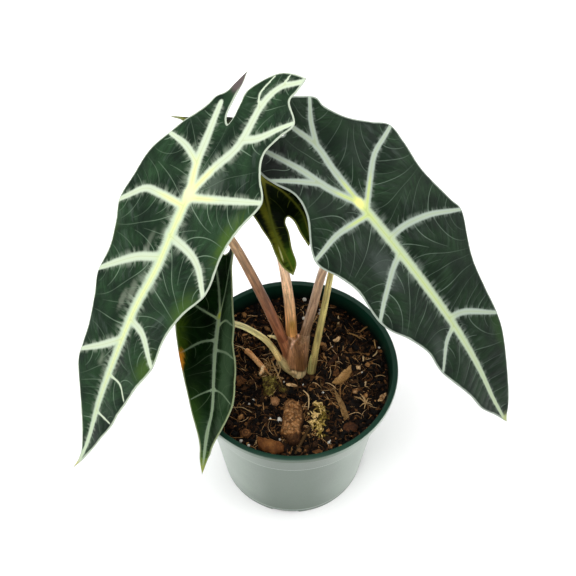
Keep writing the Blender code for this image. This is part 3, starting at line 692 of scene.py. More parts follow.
def make_blade(settings, name, blade, looks, slot, band, taper, coarse, pitch, seed, relief):
    """A finely meshed blade with its veins, quilting, ribs and rounded margin.

    band gives the half width of a vein's colour for its strength, taper how much the midrib's band
    narrows, coarse the spacing of points for a grid of 1, and pitch the spacing of the fine veins.
    """
    outline, thick = blade.rim(1.0), settings.thickness / MM
    veins = Veins(blade, band, taper, outline)
    fine = fine_veins(veins, outline, seed, pitch)
    flat, faces = flat_mesh(blade, veins, fine, settings.grid / MM * coarse)
    away, share, rib, along, second = veins.near(flat)
    margin, _ = reach(flat, [(1.0, outline + outline[:1])])
    hair, strength = reach(flat, fine, 0.85)
    x, y = flat.T
    up = blade.normal(x, y)
    puff = QUILT * (1.0 - np.exp(-(away / QUILT_WIDTH) ** 2))
    puff += relief * (1.0 - np.exp(-(hair / 1.3) ** 2)) * smooth(away / 3.0) * smooth(margin / 1.5)
    top = blade.form(x, y) + up * (puff + 0.25 * rib)[:, None]
    bottom = top - up * (thick + (RIB + 0.25) * rib)[:, None]
    rim = {}
    for face in faces:
        for first, last in zip(face, np.roll(face, -1)):
            if (last, first) in rim:
                del rim[(last, first)]
            else:
                rim[(first, last)] = True
    on_rim = np.array(sorted({point for pair in rim for point in pair}))
    outward = np.zeros((len(flat), 3))
    for first, last in rim:
        ahead = top[last] - top[first]
        side = unit(np.cross(ahead, up[first]))
        outward[first] += side
        outward[last] += side
    outward[on_rim] = unit(outward[on_rim])
    middle = (top[on_rim] + bottom[on_rim]) / 2
    top[on_rim] -= up[on_rim] * thick * 0.16 + outward[on_rim] * thick * 0.2
    bottom[on_rim] += up[on_rim] * thick * 0.16 - outward[on_rim] * thick * 0.2
    count = len(flat)
    spot = {point: 2 * count + index for index, point in enumerate(on_rim)}
    solid = [tuple(face) for face in faces] + [tuple(face[::-1] + count) for face in faces]
    picks = [0] * len(faces) + [1] * len(faces)
    for first, last in rim:
        solid.append((last, first, spot[first], spot[last]))
        solid.append((spot[last], spot[first], first + count, last + count))
        picks += [2, 2]
    points = blade.world(np.concatenate([top, bottom, middle]))
    made = new_piece(name + "_fine", points, solid, looks, picks, sharp=None)

    midrib = np.hypot(*(flat[:, None] - veins.lines[0][None, ::4]).transpose(2, 0, 1)).min(axis=1)
    for key, values in {
            "share": share, "away": away, "along": along, "margin": margin, "hair": hair,
            "seam": np.clip(away / np.maximum(second, 0.5), 0, 1), "hair_strength": strength,
            "midrib": np.exp(-midrib / 2.5), "puff": puff, "flat": flat}.items():
        carry(made, key, np.concatenate([values, values, values[on_rim]]))
    return keep(made, slot, name)


LEFT_BLADE = Blade(
    node=(-45, 9, 218.5), heading=-127, droop=39, roll=14,
    bend=[(-70, -12), (0, 0), (60, 6), (150, 18)],
    folds=[(-60, 7, 7), (150, 7, 7)], cup=(-0.3, -0.3),
    ripple=[(0.8, 42, 0.1, 16), (0.8, 38, 0.6, 16)],
    outline=[
        [(4, 144), (2, 137), (2, 130), (6, 118), (13, 104), (20, 93), (21, 85), (21, 75), (24, 62),
         (29, 52), (28, 38), (30, 28), (35, 19), (34, 7), (31, -6), (24, -22), (18, -31), (15, -37),
         (13.5, -42), (10, -46), (8, -51), (6, -58)],
        [(6, -58), (4.5, -52), (4, -44), (3, -37), (0, -34), (-1, -38), (0, -44), (1, -50), (-2, -56),
         (-8, -63), (-15, -66), (-23, -67)],
        [(-23, -67), (-23, -60), (-23, -55), (-31, -48), (-29, -40), (-27, -31), (-31, -22), (-37, -13),
         (-35, 1), (-33, 16), (-33, 32), (-28, 46), (-24, 60), (-23, 76), (-17, 94), (-12, 112), (-5, 128),
         (4, 144)]],
    veins=[
        (1.0, [(0, 0), (-1, 18), (-2, 36), (0, 56), (0, 80), (0, 102), (-1, 124), (1, 138)]),
        (0.8, [(0, 0), (4, -12), (6, -24), (8, -34)]),
        (0.6, [(4, -13), (14, -17), (25, -18)]),
        (0.8, [(0, 0), (-6, -15), (-12, -29), (-11, -48), (-14, -58), (-20, -63)]),
        (0.6, [(-12, -31), (-20, -36), (-27, -44)]),
        (0.7, [(0, 6), (15, 7), (24, 9), (32, 17)]),
        (0.7, [(0, 31), (10, 36), (19, 43), (26, 49)]),
        (0.6, [(0, 72), (9, 80), (17, 86)]),
        (0.7, [(0, 2), (-18, -5), (-34, -12)]),
        (0.7, [(0, 20), (-15, 21), (-23, 24), (-30, 31)]),
        (0.6, [(0, 62), (-11, 64), (-21, 72)]),
        (0.4, [(0, 90), (-9, 90), (-14, 94)]),
        (0.4, [(0, 109), (-9, 109)]),
        (0.4, [(-11, -46), (-6.5, -52), (-7.5, -59)]), (0.4, [(-15, -59), (-15, -63)])])

RIGHT_BLADE = Blade(
    node=(29, 16, 203.5), heading=-31, droop=42, roll=8,
    bend=[(-60, -10), (0, 0), (60, 8), (150, 22)],
    folds=[(-60, 7, 7), (150, 7, 7)], cup=(-0.3, -0.3),
    ripple=[(0.8, 44, 0.4, 16), (0.8, 40, 0.9, 16)],
    outline=[
        [(2, 150), (7, 138), (13, 125), (15, 113), (19, 98), (21, 87), (21, 75), (25, 62), (30, 51),
         (31, 42), (30, 27), (33, 14), (36, 4), (33, -4), (25, -15), (22, -25), (25, -35), (26, -44),
         (20, -54)],
        [(20, -54), (12, -51), (5, -46), (0, -52), (-6, -59)],
        [(-6, -59), (-13, -53), (-19, -47), (-19, -41), (-23, -31), (-31, -21), (-38, -13), (-37, -2),
         (-36, 12), (-38, 32), (-40, 42), (-34, 53), (-28, 66), (-25, 80), (-24, 97), (-18, 111),
         (-11, 126), (-4, 141), (2, 150)]],
    veins=[
        (1.0, [(0, 0), (0, 25), (0, 50), (0, 80), (1, 106), (3, 128), (3, 143)]),
        (0.8, [(0, 0), (-1, -18), (-3, -32), (-1, -45)]),
        (0.6, [(-3, -32), (-9, -41), (-15, -47)]),
        (0.8, [(0, 0), (7, -15), (11, -30), (16, -44)]),
        (0.6, [(8, -19), (15, -27), (24, -36)]),
        (0.7, [(0, 5), (-12, -4), (-22, -10), (-34, -12)]),
        (0.7, [(0, 22), (-11, 24), (-24, 30), (-35, 38)]),
        (0.7, [(0, 74), (-9, 79), (-21, 92)]),
        (0.7, [(0, 7), (9, 4), (20, 1), (32, 1)]),
        (0.7, [(0, 31), (9, 33), (20, 38), (27, 42)]),
        (0.6, [(0, 79), (9, 81), (18, 88)])])

LOW_BLADE = Blade(
    node=(-36, 6, 128.5), heading=-97, droop=24, roll=0,
    bend=[(-45, -20), (0, 0), (40, 14), (60, 46), (100, 58)],
    folds=[(-20, 62, 3), (0, 60, 3), (35, 50, 3)], cup=(-0.2, -0.5),
    ripple=[(0.7, 30, 0.2, 9), (0.9, 33, 0.5, 9)],
    outline=[
        [(4, 91), (5, 80), (5, 68), (7, 56), (11, 43), (15, 30), (19, 18), (22, 4), (21, -10), (17, -24),
         (12, -34), (7, -40)],
        [(7, -40), (4, -34), (2, -32), (0, -34), (-3, -37)],
        [(-3, -37), (-5, -31), (-6, -24), (-10, -16), (-14, -6), (-16, 6), (-17, 17), (-20, 27), (-19, 38),
         (-15, 47), (-9, 56), (-4, 65), (0, 76), (4, 91)]],
    veins=[
        (0.8, [(0, 0), (0, 17), (-1, 32), (-2, 45), (1, 60), (3, 80)]),
        (0.5, [(0, 0), (2, -12), (5, -24)]),
        (0.5, [(0, 0), (-3, -12), (-4, -24)]),
        (0.5, [(0, 2), (9, -2), (17, -6)]),
        (0.5, [(0, 12), (8, 14), (17, 20)]),
        (0.4, [(-1, 36), (5, 39), (11, 43)]),
        (0.5, [(0, 5), (-7, 3), (-13, 5)]),
        (0.5, [(0, 17), (-10, 18), (-16, 20)]),
        (0.4, [(-2, 36), (-9, 37), (-16, 40)])])

BACK_BLADE = Blade(
    node=(-14, 31, 201.5), heading=114, droop=12, roll=0,
    bend=[(-50, -62), (-20, -42), (0, 0), (40, 10), (110, 24)],
    folds=[(-50, -5, -5), (100, 4, 4)], cup=(-0.3, -0.3),
    ripple=[(0.8, 34, 0.0, 12), (0.8, 30, 0.5, 12)],
    outline=[
        [(-14, 98), (-9, 88), (-2, 78), (7, 66), (15, 52), (21, 37), (24, 22), (25, 8), (23, -6), (20, -18),
         (15, -29), (8, -38)],
        [(8, -38), (6, -31), (5, -25), (3, -22), (1, -24), (1, -29), (0, -36), (0, -43), (-3, -48)],
        [(-3, -48), (-6.5, -43), (-8, -37), (-8.5, -30), (-10, -24), (-12, -15), (-16, -5), (-20, 6),
         (-22, 19), (-22, 34), (-21, 48), (-18, 62), (-14, 75), (-11.5, 86), (-14, 98)]],
    veins=[
        (0.8, [(0, 0), (0, 20), (-1, 42), (-4, 62), (-9, 80), (-12, 92)]),
        (0.6, [(0, 0), (-3, -12), (-5, -26), (-3, -42)]),
        (0.6, [(0, 0), (6, -11), (10, -22), (10, -31)]),
        (0.5, [(0, 2), (-10, 1), (-19, -1)]),
        (0.5, [(0, 3), (10, 2), (20, 0)]),
        (0.5, [(0, 20), (-10, 23), (-20, 30)]),
        (0.5, [(0, 18), (10, 21), (19, 27)]),
        (0.4, [(-1, 44), (-9, 48), (-17, 55)]),
        (0.4, [(-1, 42), (8, 46), (13, 51)])])


def leaf_looks(name, dark, bright, sheen, halo, side, core, node, pale, margin, under, band_reach,
               core_reach, far_core, gloss, patches, margin_tint_and_backlight, ends=(), spread=1.0):
    """Materials for a blade's upper side, underside and margin.

    The green goes from dark to bright, with a painted sheen on the quilted bulges between the veins.
    Veins have a side colour, the midrib a halo, a core that is strong up to far_core, and a pale
    yellow spot where the stalk joins. The rows of patches, of tints near the margin and of ends lay
    soft spots over it: place, size, colour and strength. Some patches are painted sheen or painted
    shadow, and some tints near the margin are painted light shining through the blade. Colours that
    the settings don't hold are plain ones of 0 to 255.
    """
    sheen, side, node, pale, margin, under = (
        linear(*colour) for colour in (sheen, side, node, pale, margin, under))
    look = Look(name + "_top", Coat_Weight=0.5 * gloss, Coat_Roughness=0.3, Specular_IOR_Level=gloss)
    along, away, share, edge, midrib, strength = (look.measure(key) for key in (
        "along", "away", "share", "margin", "midrib", "hair_strength"))
    flat = look.measure("flat", "Vector")

    def brushed(across, out, detail):
        return look.noise(look.vector(along * across, away * out), 1.0, detail, 0.6)

    streak, fringe, glint = brushed(0.8, 0.1, 3.0), brushed(1.3, 0.2, 4.0), brushed(0.42, 0.05, 3.0)
    mottle = look.noise(flat, 0.07, 4.0, 0.55, 0.6)
    grain = look.noise(flat, 1.8, 3.0, 0.6)
    blur = mottle - 0.5 + (streak - 0.5) * 0.9

    def patched(colour, rows, low, high, cover=1.0):
        for (x, y), (wide, long), tint, strength in rows:
            spot = look.space("MULTIPLY", look.space("SUBTRACT", flat, (x, y, 0)), (1 / wide, 1 / long, 0))
            far = look.space("LENGTH", spot, output="Value")
            here = look.fall(far + blur, low, high) ** 1.8
            colour = look.mix(here * strength * cover, colour, linear(*tint))
        return colour

    colour = look.mix(look.step(mottle, 0.3, 0.72), dark, bright)
    calm = look.fall(look.measure("seam"), 0.75, 0.98)
    colour = look.brighten(colour, 0.5, 1.6, calm * (streak - 0.5) + 0.5)
    colour = look.brighten(colour, 0.85, 1.18, grain)
    # Painted sheen: a greyish highlight laid on the quilted bulges along the brushed streaks
    glow = look.step(glint, 0.5, 0.78) * look.step(look.measure("puff"), 0.1, 0.8)
    colour = look.mix(glow * calm * 0.55, colour, sheen)
    colour = patched(colour, patches, 0.2, 1.2)
    # Tints that are strongest near the margin; on the left leaf they are painted light shining through the
    # thin blade
    colour = patched(colour, margin_tint_and_backlight, 0.2, 1.2, look.step(edge, 2.0, 12.0, 1.0, 0.1))
    haze = look.fall(share + blur, 0.8, 2.6, 0.34) * look.step(glint, 0.42, 0.6)
    colour = look.mix(haze, colour, side)
    hair = look.fall(look.measure("hair") / (strength * 0.13 + 0.15), 0.3, 1.1)
    colour = look.mix(hair * strength * look.step(mottle, 0.25, 0.65, 0.35, 0.9), colour, pale)
    ragged = share + (fringe - 0.5) * (midrib * (0.4 * spread) + 0.35) + (streak - 0.5) * 0.35
    band = look.fall(ragged, *band_reach) ** 1.3
    colour = look.mix(band, colour, look.mix(look.step(midrib, 0.1, 0.5), side, halo))
    from_node = look.space("LENGTH", flat, output="Value")
    fading = look.step(from_node, 50.0, 130.0, far_core, 0.3 * far_core)
    near = look.math("MAXIMUM", midrib * fading, look.fall(from_node, 3.0 * spread, 26.0 * spread))
    middle = look.fall(share + (fringe - 0.5) * 0.4, *core_reach) * look.step(near, 0.1, 0.75, 0.12, 0.95)
    colour = look.mix(middle, colour, core)
    colour = look.mix(look.fall(share, 0.03, 0.14, 0.3), colour, [value * 0.5 for value in core])
    glow = look.fall(from_node, 0.5 * spread, 6.0 * spread) * look.fall(ragged, 0.4, 1.1)
    colour = look.mix(glow, colour, node)
    colour = look.mix(look.fall(edge + (mottle - 0.5) * -0.9, 0.35, 1.0, 0.85), colour, margin)
    colour = patched(colour, ends, 0.5, 1.15)
    rough = mottle * 0.16 + grain * 0.1 + look.step(share, 0.6, 1.3, 0.45, 0.3)
    top = look.finish(colour, rough, look.bump(fringe * 0.8 + grain, 0.35, 0.25))

    look = Look(name + "_under", Specular_IOR_Level=0.4, Sheen_Weight=0.12, Sheen_Roughness=0.5)
    flat = look.measure("flat", "Vector")
    share, hair = look.measure("share"), look.measure("hair")
    mottle, grain = look.noise(flat, 0.12, 4.0, 0.6), look.noise(flat, 2.2, 3.0, 0.6)
    colour = look.mix(look.step(mottle, 0.3, 0.75, 0.0, 0.3), under, halo)
    colour = look.brighten(colour, 0.8, 1.15, grain)
    web = look.fall(hair, 0.15, 0.5, 0.6) * look.measure("hair_strength")
    colour = look.mix(web, colour, pale)
    colour = look.mix(look.fall(share, 0.3, 0.8, 0.85), colour, [sum(pair) / 2 for pair in zip(pale, halo)])
    relief = grain + look.fall(hair, 0.0, 0.8)
    under_look = look.finish(colour, mottle * 0.2 + 0.4, look.bump(relief, 0.4, 0.25))

    look = Look(name + "_margin", Roughness=0.45, Specular_IOR_Level=0.4)
    grain = look.noise(look.place(), 0.9, 2.0)
    colour = look.brighten(look.mix(grain, margin, [value * 0.8 for value in margin]), 0.9, 1.1, grain)
    return [top, under_look, look.finish(colour)]


# Stalks

LEFT_ROUTE = [(-5.3, 4.4, 109.5), (-10, 6.5, 125.5), (-15.5, 9, 142.5), (-22.5, 11.5, 163.5),
              (-29, 12.5, 181.5), (-37, 12, 199.5)]
MIDDLE_ROUTE = [(-0.9, 8, 109.5), (-2, 12.5, 130.5), (-5, 16.5, 156.5), (-9.5, 22, 179.5)]
RIGHT_ROUTE = [(6, 8.2, 109.5), (9.5, 12, 126.5), (13.5, 16, 148.5), (19, 18, 172.5), (24.5, 18.5, 189.5)]
LOW_ROUTE = [(-6.9, -0.2, 98.5), (-10.7, 1.6, 107), (-15.5, 3.4, 113), (-24, 5.2, 119.5), (-31, 5.8, 123)]
SPIKE_ROUTE = [(9.8, 1, 77.5), (10.1, 1.7, 84), (11, 4, 95.5), (12.8, 8, 108), (15.1, 13, 122.5),
               (17.9, 20, 141), (20.2, 25, 158), (21.8, 28.5, 176), (22.6, 30.5, 189), (23, 31.5, 199)]
SPIKE_RADII = [1.6, 1.8, 1.8, 1.7, 1.6, 1.5, 2.0, 1.7, 0.5]
SPUR_ROUTE = [(-5.6, 4.6, 109.6), (-9.7, 5.0, 111.0), (-13.4, 5.2, 112.0)]
SPUR_RADII = [1.3, 1.2, 0.9, 0.3]
SPIKE_SHEATH = [(8.6, 0.8, 79.5), (8.7, 1.4, 85), (9.0, 2.5, 92), (9.3, 3.4, 96.5)]
STEM_PATH = [(2.6, 1.6, 71.5), (2.6, 1.9, 82), (2.4, 2.4, 87), (1.9, 3.4, 94), (1.7, 4.6, 101),
             (1.6, 5.6, 106)]
STEM_RADII = [4.0, 4.2, 4.5, 5.2, 5.1, 4.8, 3.2]
SHEATHS = [
    [(0.4, 1.6, 88.6), (-2.3, 2.8, 100), LEFT_ROUTE[0], LEFT_ROUTE[1], 2.75],
    [(2.0, 2.4, 87.3), (0.9, 4.9, 99), MIDDLE_ROUTE[0], MIDDLE_ROUTE[1], 2.9],
    [(3.6, 2.0, 88), (5.0, 4.4, 99.3), RIGHT_ROUTE[0], RIGHT_ROUTE[1], 2.6],
    [(0.6, -1.0, 87), (-3.6, -1.2, 92), LOW_ROUTE[0], LOW_ROUTE[1], 1.8]]
SHEATH_SWELL = (1.35, 1.2, 1.0)

# Colours of the stem's core and of its sheaths, and of the corm at its foot
STEM_TINTS = [(138, 95, 56), (146, 98, 68), (186, 130, 78), (152, 124, 96), (160, 138, 88)]
CORM = (234, 208, 154)
# Strokes of colour on the stem: colour, width, strength and path
STEM_STROKES = [
    ((142, 82, 50), 2.6, 0.8, [(-7.3, 2.6, 115.4), (-5.7, 1.4, 107), (-3.9, 0.2, 101.3)]),
    ((190, 118, 70), 1.2, 0.7, [(-4.5, 4.2, 115.5), (-3.7, 3.2, 111.9), (-3.4, 1.9, 108)]),
    ((194, 140, 96), 1.9, 0.9, [(-1.2, 1.4, 104.3), (-0.6, 0.2, 101), (-0.6, -0.7, 97.2), (0, -1.5, 93)]),
    ((102, 69, 40), 1.6, 0.8, [(2.2, 2.1, 105.8), (2.5, 0.6, 102.9), (2.8, -0.5, 99.4), (3.4, -1.2, 95.3),
     (4, -1.9, 90.9)]),
    ((140, 104, 76), 1.2, 0.7, [(6.1, 3.2, 104.1), (6.5, 1.5, 98.9), (6.8, 0.9, 91.8)]),
    ((146, 116, 84), 1.6, 0.7, [(5.5, 6.9, 113.4), (5, 6, 110.2), (4.4, 4.7, 107)]),
    ((188, 124, 66), 1.6, 0.8, [(-0.1, 6.4, 114.2), (0.2, 5.9, 111.9), (0.4, 5.6, 109.8)]),
    ((182, 164, 112), 1.8, 0.9, [(-7.4, -1.7, 99.8), (-5.1, -2.3, 97), (-4, -3.2, 93), (-3.4, -2.6, 88),
     (-2, -2.6, 84.5)]),
    ((188, 166, 112), 2.0, 0.7, [(0, -1.8, 84.5), (4, -2.3, 83.3)]),
    ((78, 46, 28), 0.6, 0.7, [(-2.5, 5.2, 108.8), (-2.3, 2, 107.1), (-2.9, 0.3, 103.5),
     (-3.7, -0.2, 99.5)]),
    ((232, 186, 152), 0.6, 0.9, [(-2.5, 6, 110.6), (-0.1, 4.8, 108.4), (-0.6, 3.8, 106.3),
     (-1.2, 2, 105.4)]),
    ((232, 186, 152), 0.6, 0.9, [(2.6, 7.3, 109.4), (2.2, 6.6, 107.9), (0.5, 4.6, 107.7),
     (-0.6, 3.4, 106.4)]),
    ((66, 42, 25), 0.6, 0.8, [(-1.2, -2.5, 91.8), (1.1, -2.1, 90.4), (4, -2.2, 89.6), (6, -1, 88)]),
    ((232, 200, 146), 0.9, 0.9, [(-0.6, -2.9, 90.2), (1.7, -2.4, 88.8), (4, -2.4, 87.2),
     (6.2, -0.6, 83.5)]),
    ((240, 226, 160), 2.4, 1.0, [(-9, 5, 111), (-13.4, 5.2, 112)])]
# Strokes of colour on the stalks: colour, width, strength and path. The pale strokes along the left edges
# of the left and right stalks are painted highlights.
STALK_STROKES = {
    "petiole_left": [((226, 196, 168), 0.7, 0.6, [(-8.6, 4.4, 117), (-12.3, 5.6, 125.5),
        (-17.8, 8.2, 142.5), (-24.8, 10.8, 163.5)])],
    "petiole_right": [((222, 200, 176), 0.7, 0.6, [(5.4, 8.4, 116), (7.4, 11.2, 127), (11.5, 15.3, 149),
        (17.1, 17.3, 173)])],
    "petiole_middle": [((206, 168, 52), 1.5, 0.8, [(-0.4, 7.4, 117), (-0.6, 7.6, 119.5)]), ((184, 128, 56),
        2.6, 0.7, [(-0.1, 6.4, 113), (-0.4, 7.2, 118)])]}


def stalk_look(name):
    """Satin plant skin with long streaks and small freckles."""
    look = Look(name, Coat_Weight=0.06, Coat_Roughness=0.35, Specular_IOR_Level=0.16,
                Subsurface_Weight=0.08, Subsurface_Scale=2 * MM)
    spot = look.place()
    skin = look.space("MULTIPLY", look.measure("skin", "Vector"), (0.8, 0.8, 0.05))
    streak, line = look.noise(skin, 1.0, 4.0, 0.65), look.noise(skin, 2.6, 2.0, 0.5)
    patchy = look.noise(spot, 0.11, 3.0)
    colour = look.brighten(look.measure("tint", "Color"), 0.68, 1.28, look.step(streak, 0.3, 0.7))
    colour = look.brighten(colour, 0.8, 1.18, patchy)
    colour = look.brighten(colour, 0.75, 1.28, line)
    freckles = look.fall(look.cells(spot, 0.8), 0.12, 0.34) * look.step(patchy, 0.42, 0.6)
    colour = look.mix(freckles * 0.5, colour, linear(92, 60, 40))
    return look.finish(colour, streak * 0.25 + 0.3, look.bump(streak + line, 0.4, 0.3))


def paint(tint, spots, strokes):
    """The tints with soft strokes of colour laid over them."""
    for colour, width, strength, path in strokes:
        line = np.array(spline(path, 0.3))
        gap = np.array([np.sqrt(((spots - point) ** 2).sum(axis=1)) for point in line]).min(axis=0)
        cover = strength * np.exp(-(gap / width) ** 2)[:, None]
        tint = tint * (1 - cover) + np.array(linear(*colour)) * cover
    return tint


def skinned_tube(name, path, radii, sides, look, stops, strokes=()):
    """A tube in plant skin, which runs round and along it. Stops give its tints from end to end."""
    points, faces = tube(path, radii, sides)
    made = new_piece(name, points, faces, [look], sharp=60)
    turns, radii = circle(sides), stretched(radii, len(path))
    along = np.repeat(lengths(path), sides) + sum(map(ord, name))
    carry(made, "skin", np.column_stack([np.outer(radii, np.cos(turns)).ravel(),
                                         np.outer(radii, np.sin(turns)).ravel(), along]), True)
    share = np.repeat(np.linspace(0, 1, len(path)), sides)
    tints = np.array([linear(*tint) for _, *tint in stops]).T
    tint = np.column_stack([np.interp(share, [stop[0] for stop in stops], row) for row in tints])
    carry(made, "tint", paint(tint, points, strokes))
    return made


def make_stalk(node, route, radii, blade, tints, look, slot):
    """A finely rounded stalk that ends at the underside of its blade."""
    end, normal = blade.seat()
    full = spline([np.array(point, float) for point in route] + [end - normal * 2.6], 9.0)
    path = spline(full, 1.6)
    near_end = np.clip((lengths(path) - lengths(path)[-1] + 6.0) / 6.0, 0, 1)
    widths = stretched(radii, len(path)) * (1.0 + 0.35 * near_end ** 2)
    stops = [(place, *tint) for place, tint in zip(np.linspace(0, 1, len(tints)), tints)]
    made = skinned_tube(node + "_fine", path, widths, 24, look, stops, STALK_STROKES.get(node, ()))
    return keep(made, slot, node)


def make_stem(look):
    """The short stem and the sheaths that wrap it, as one grown form."""
    shapes = Heap()
    shapes.add(*tube(spline(STEM_PATH, 1.5), STEM_RADII, 32))
    paths = [np.array(spline(STEM_PATH, 1.0))]
    for start, middle, end, after, radius in SHEATHS:
        ahead = unit(np.subtract(after, end))
        path = spline([start, middle, end], 1.5)
        path.append(path[-1] + ahead * 0.6)
        paths.append(np.array(spline([start, middle, end], 1.0)))
        shapes.add(*tube(path, [radius * swell for swell in SHEATH_SWELL], 28))
    shapes.add(*tube(spline(SPUR_ROUTE, 1.0), SPUR_RADII, 12))
    made = new_piece("stem_base_fine", np.concatenate(shapes.points), shapes.faces, [look], sharp=None)
    bpy.context.view_layer.objects.active = made
    remesh = made.modifiers.new("grow", "REMESH")
    remesh.mode = "VOXEL"
    remesh.voxel_size = 0.5 * MM
    even = made.modifiers.new("even", "SMOOTH")
    even.factor, even.iterations = 0.5, 6
    spots = np.array([vertex.co for vertex in settle(made).vertices]) / MM
    weights = []
    for path, radius in zip(paths, [5.4] + [sheath[-1] for sheath in SHEATHS]):
        gap = np.linalg.norm(spots[:, None, :] - path[None, :, :], axis=2).min(axis=1) / radius
        weights.append(np.exp(-(gap * 2.0) ** 2))
    weights = np.array(weights)
    weights /= weights.sum(axis=0)
    tint = np.einsum("ij,ik->jk", weights, np.array([linear(*colour) for colour in STEM_TINTS]))
    low = smooth((90.0 - spots[:, 2]) / 4.0)[:, None]
    tint = tint * (1 - low) + np.array(linear(*CORM)) * low
    carry(made, "tint", paint(tint, spots, STEM_STROKES))
    skin = []
    for path in paths:
        gap = spots[:, None, :] - path[None, :, :]
        closest = np.linalg.norm(gap, axis=2).argmin(axis=1)
        offset = gap[np.arange(len(spots)), closest]
        skin.append(np.column_stack([offset[:, 0], offset[:, 1], lengths(path)[closest]]))
    carry(made, "skin", np.array(skin)[weights.argmax(axis=0), np.arange(len(spots))], True)
    return keep(made, "stem", "stem_base")


def make_spike(look):
    """The young pale stalk with the rolled new leaf at its top, and the sheath at its foot."""
    keep(skinned_tube("new_leaf_spike_fine", spline(SPIKE_ROUTE, 1.8), SPIKE_RADII, 20, look,
                      [(0.0, 142, 128, 78), (0.15, 178, 160, 98), (0.45, 208, 192, 116),
                       (0.7, 220, 214, 136), (0.85, 186, 196, 114), (1.0, 120, 150, 80)]),
         "young_petiole", "new_leaf_spike")
    keep(skinned_tube("spike_sheath", spline(SPIKE_SHEATH, 1.2), [1.2, 1.25, 1.1, 0.9, 0.3], 14, look,
                      [(0.0, 176, 168, 104)]), "young_petiole")


# Pot


def inner_radius(height):
    """The radius of the pot's inner wall at a height."""
    rows = [FOOT_HEIGHT, COLLAR, LEDGE, POT_HEIGHT]
    radii = [BASE_RADIUS - WALL, BODY_RADIUS - WALL, COLLAR_RADIUS - WALL + 0.4, RIM_RADIUS - RIM_WIDTH]
    return float(np.interp(height, rows, radii))


def rounded(profile, radius, steps=3):
    """The closed profile with its corners rounded."""
    profile = [np.array(point, float) for point in profile]
    line = []
    for before, corner, after in zip([profile[-1]] + profile, profile, profile[1:] + profile[:1]):
        if corner[0] == 0.0:
            line.append(corner)
            continue
        cut = []
        for other in (before, after):
            arm = other - corner
            length = np.linalg.norm(arm)
            cut.append(corner + arm / length * min(radius, length * 0.4))
        for index in range(steps + 1):
            t = index / steps
            line.append((1 - t) ** 2 * cut[0] + 2 * t * (1 - t) * corner + t * t * cut[1])
    return line


def make_pot(settings):
    """The nursery pot: rim, stepped collar, tapered body, notched foot and drain holes."""
    under = POT_HEIGHT - RIM_HEIGHT
    profile = [
        (0.0, 0.0), (CENTRE_RADIUS, 0.0), (CENTRE_RADIUS + CENTRE_SLOPE, FOOT_HEIGHT),
        (BASE_RADIUS - 2 * WALL, FOOT_HEIGHT), (BASE_RADIUS - 1.6 * WALL, 0.0),
        (BASE_RADIUS, 0.0), (BASE_RADIUS + 0.27, 2.6), (BODY_RADIUS, COLLAR),
        (COLLAR_RADIUS, COLLAR), (COLLAR_TOP_RADIUS, under),
        (RIM_RADIUS, under), (RIM_RADIUS, POT_HEIGHT), (RIM_RADIUS - RIM_WIDTH, POT_HEIGHT),
        (inner_radius(LEDGE), LEDGE), (inner_radius(COLLAR), COLLAR),
        (inner_radius(POT_FLOOR), POT_FLOOR), (CENTRE_RADIUS + 0.5, POT_FLOOR),
        (CENTRE_RADIUS + 0.5 - CENTRE_SLOPE, FLOOR), (0.0, FLOOR)]
    line = rounded(profile, 0.45)
    steps = 192
    turns = circle(steps)
    points, rings = [], []
    for radius, height in line:
        if radius == 0.0:
            rings.append([len(points)] * steps)
            points.append((0.0, 0.0, height))
            continue
        rings.append(list(range(len(points), len(points) + steps)))
        points += [(radius * math.cos(turn), radius * math.sin(turn), height) for turn in turns]
    pot = new_piece("pot_body", points, strips(rings), pot_looks(settings), sharp=None)
    cutters = []
    for index in range(2 * NOTCH_COUNT):
        angle = math.radians(NOTCH_TURN) + math.pi * index / NOTCH_COUNT
        shape = bmesh.new()
        if index % 2 == 0:
            name, far = "notch", BASE_RADIUS
            bmesh.ops.create_cube(shape, size=1.0)
            size = Vector((10.0, NOTCH_WIDTH, 2 * NOTCH_HEIGHT)) * MM
            bmesh.ops.scale(shape, vec=size, verts=shape.verts)
            bmesh.ops.bevel(shape, geom=shape.edges[:], offset=0.7 * MM, segments=3, affect="EDGES")
        else:
            name, far = "drain", DRAIN_CIRCLE
            bmesh.ops.create_cone(shape, cap_ends=True, segments=32, radius1=DRAIN_RADIUS * MM,
                                  radius2=DRAIN_RADIUS * MM, depth=20 * MM)
        mesh = bpy.data.meshes.new(name)
        shape.to_mesh(mesh)
        shape.free()
        cutter = linked(name, mesh)
        cutter.rotation_euler.z = angle
        cutter.location = Vector((math.cos(angle), math.sin(angle), 0)) * far * MM
        cutters.append(cutter)
        cut = pot.modifiers.new(cutter.name, "BOOLEAN")
        cut.operation, cut.solver, cut.object = "DIFFERENCE", "EXACT", cutter
    mesh = settle(pot)
    for cutter in cutters:
        bpy.data.objects.remove(cutter)
    for face in mesh.polygons:
        centre = Vector((face.center.x, face.center.y, 0.0))
        face.material_index = int(centre.length > (BASE_RADIUS - 0.5) * MM
                                  and face.normal.dot(centre.normalized()) > 0.5)
    mesh.shade_smooth()
    mesh.set_sharp_from_angle(angle=math.radians(35))
    return keep(pot, "pot", "pot")


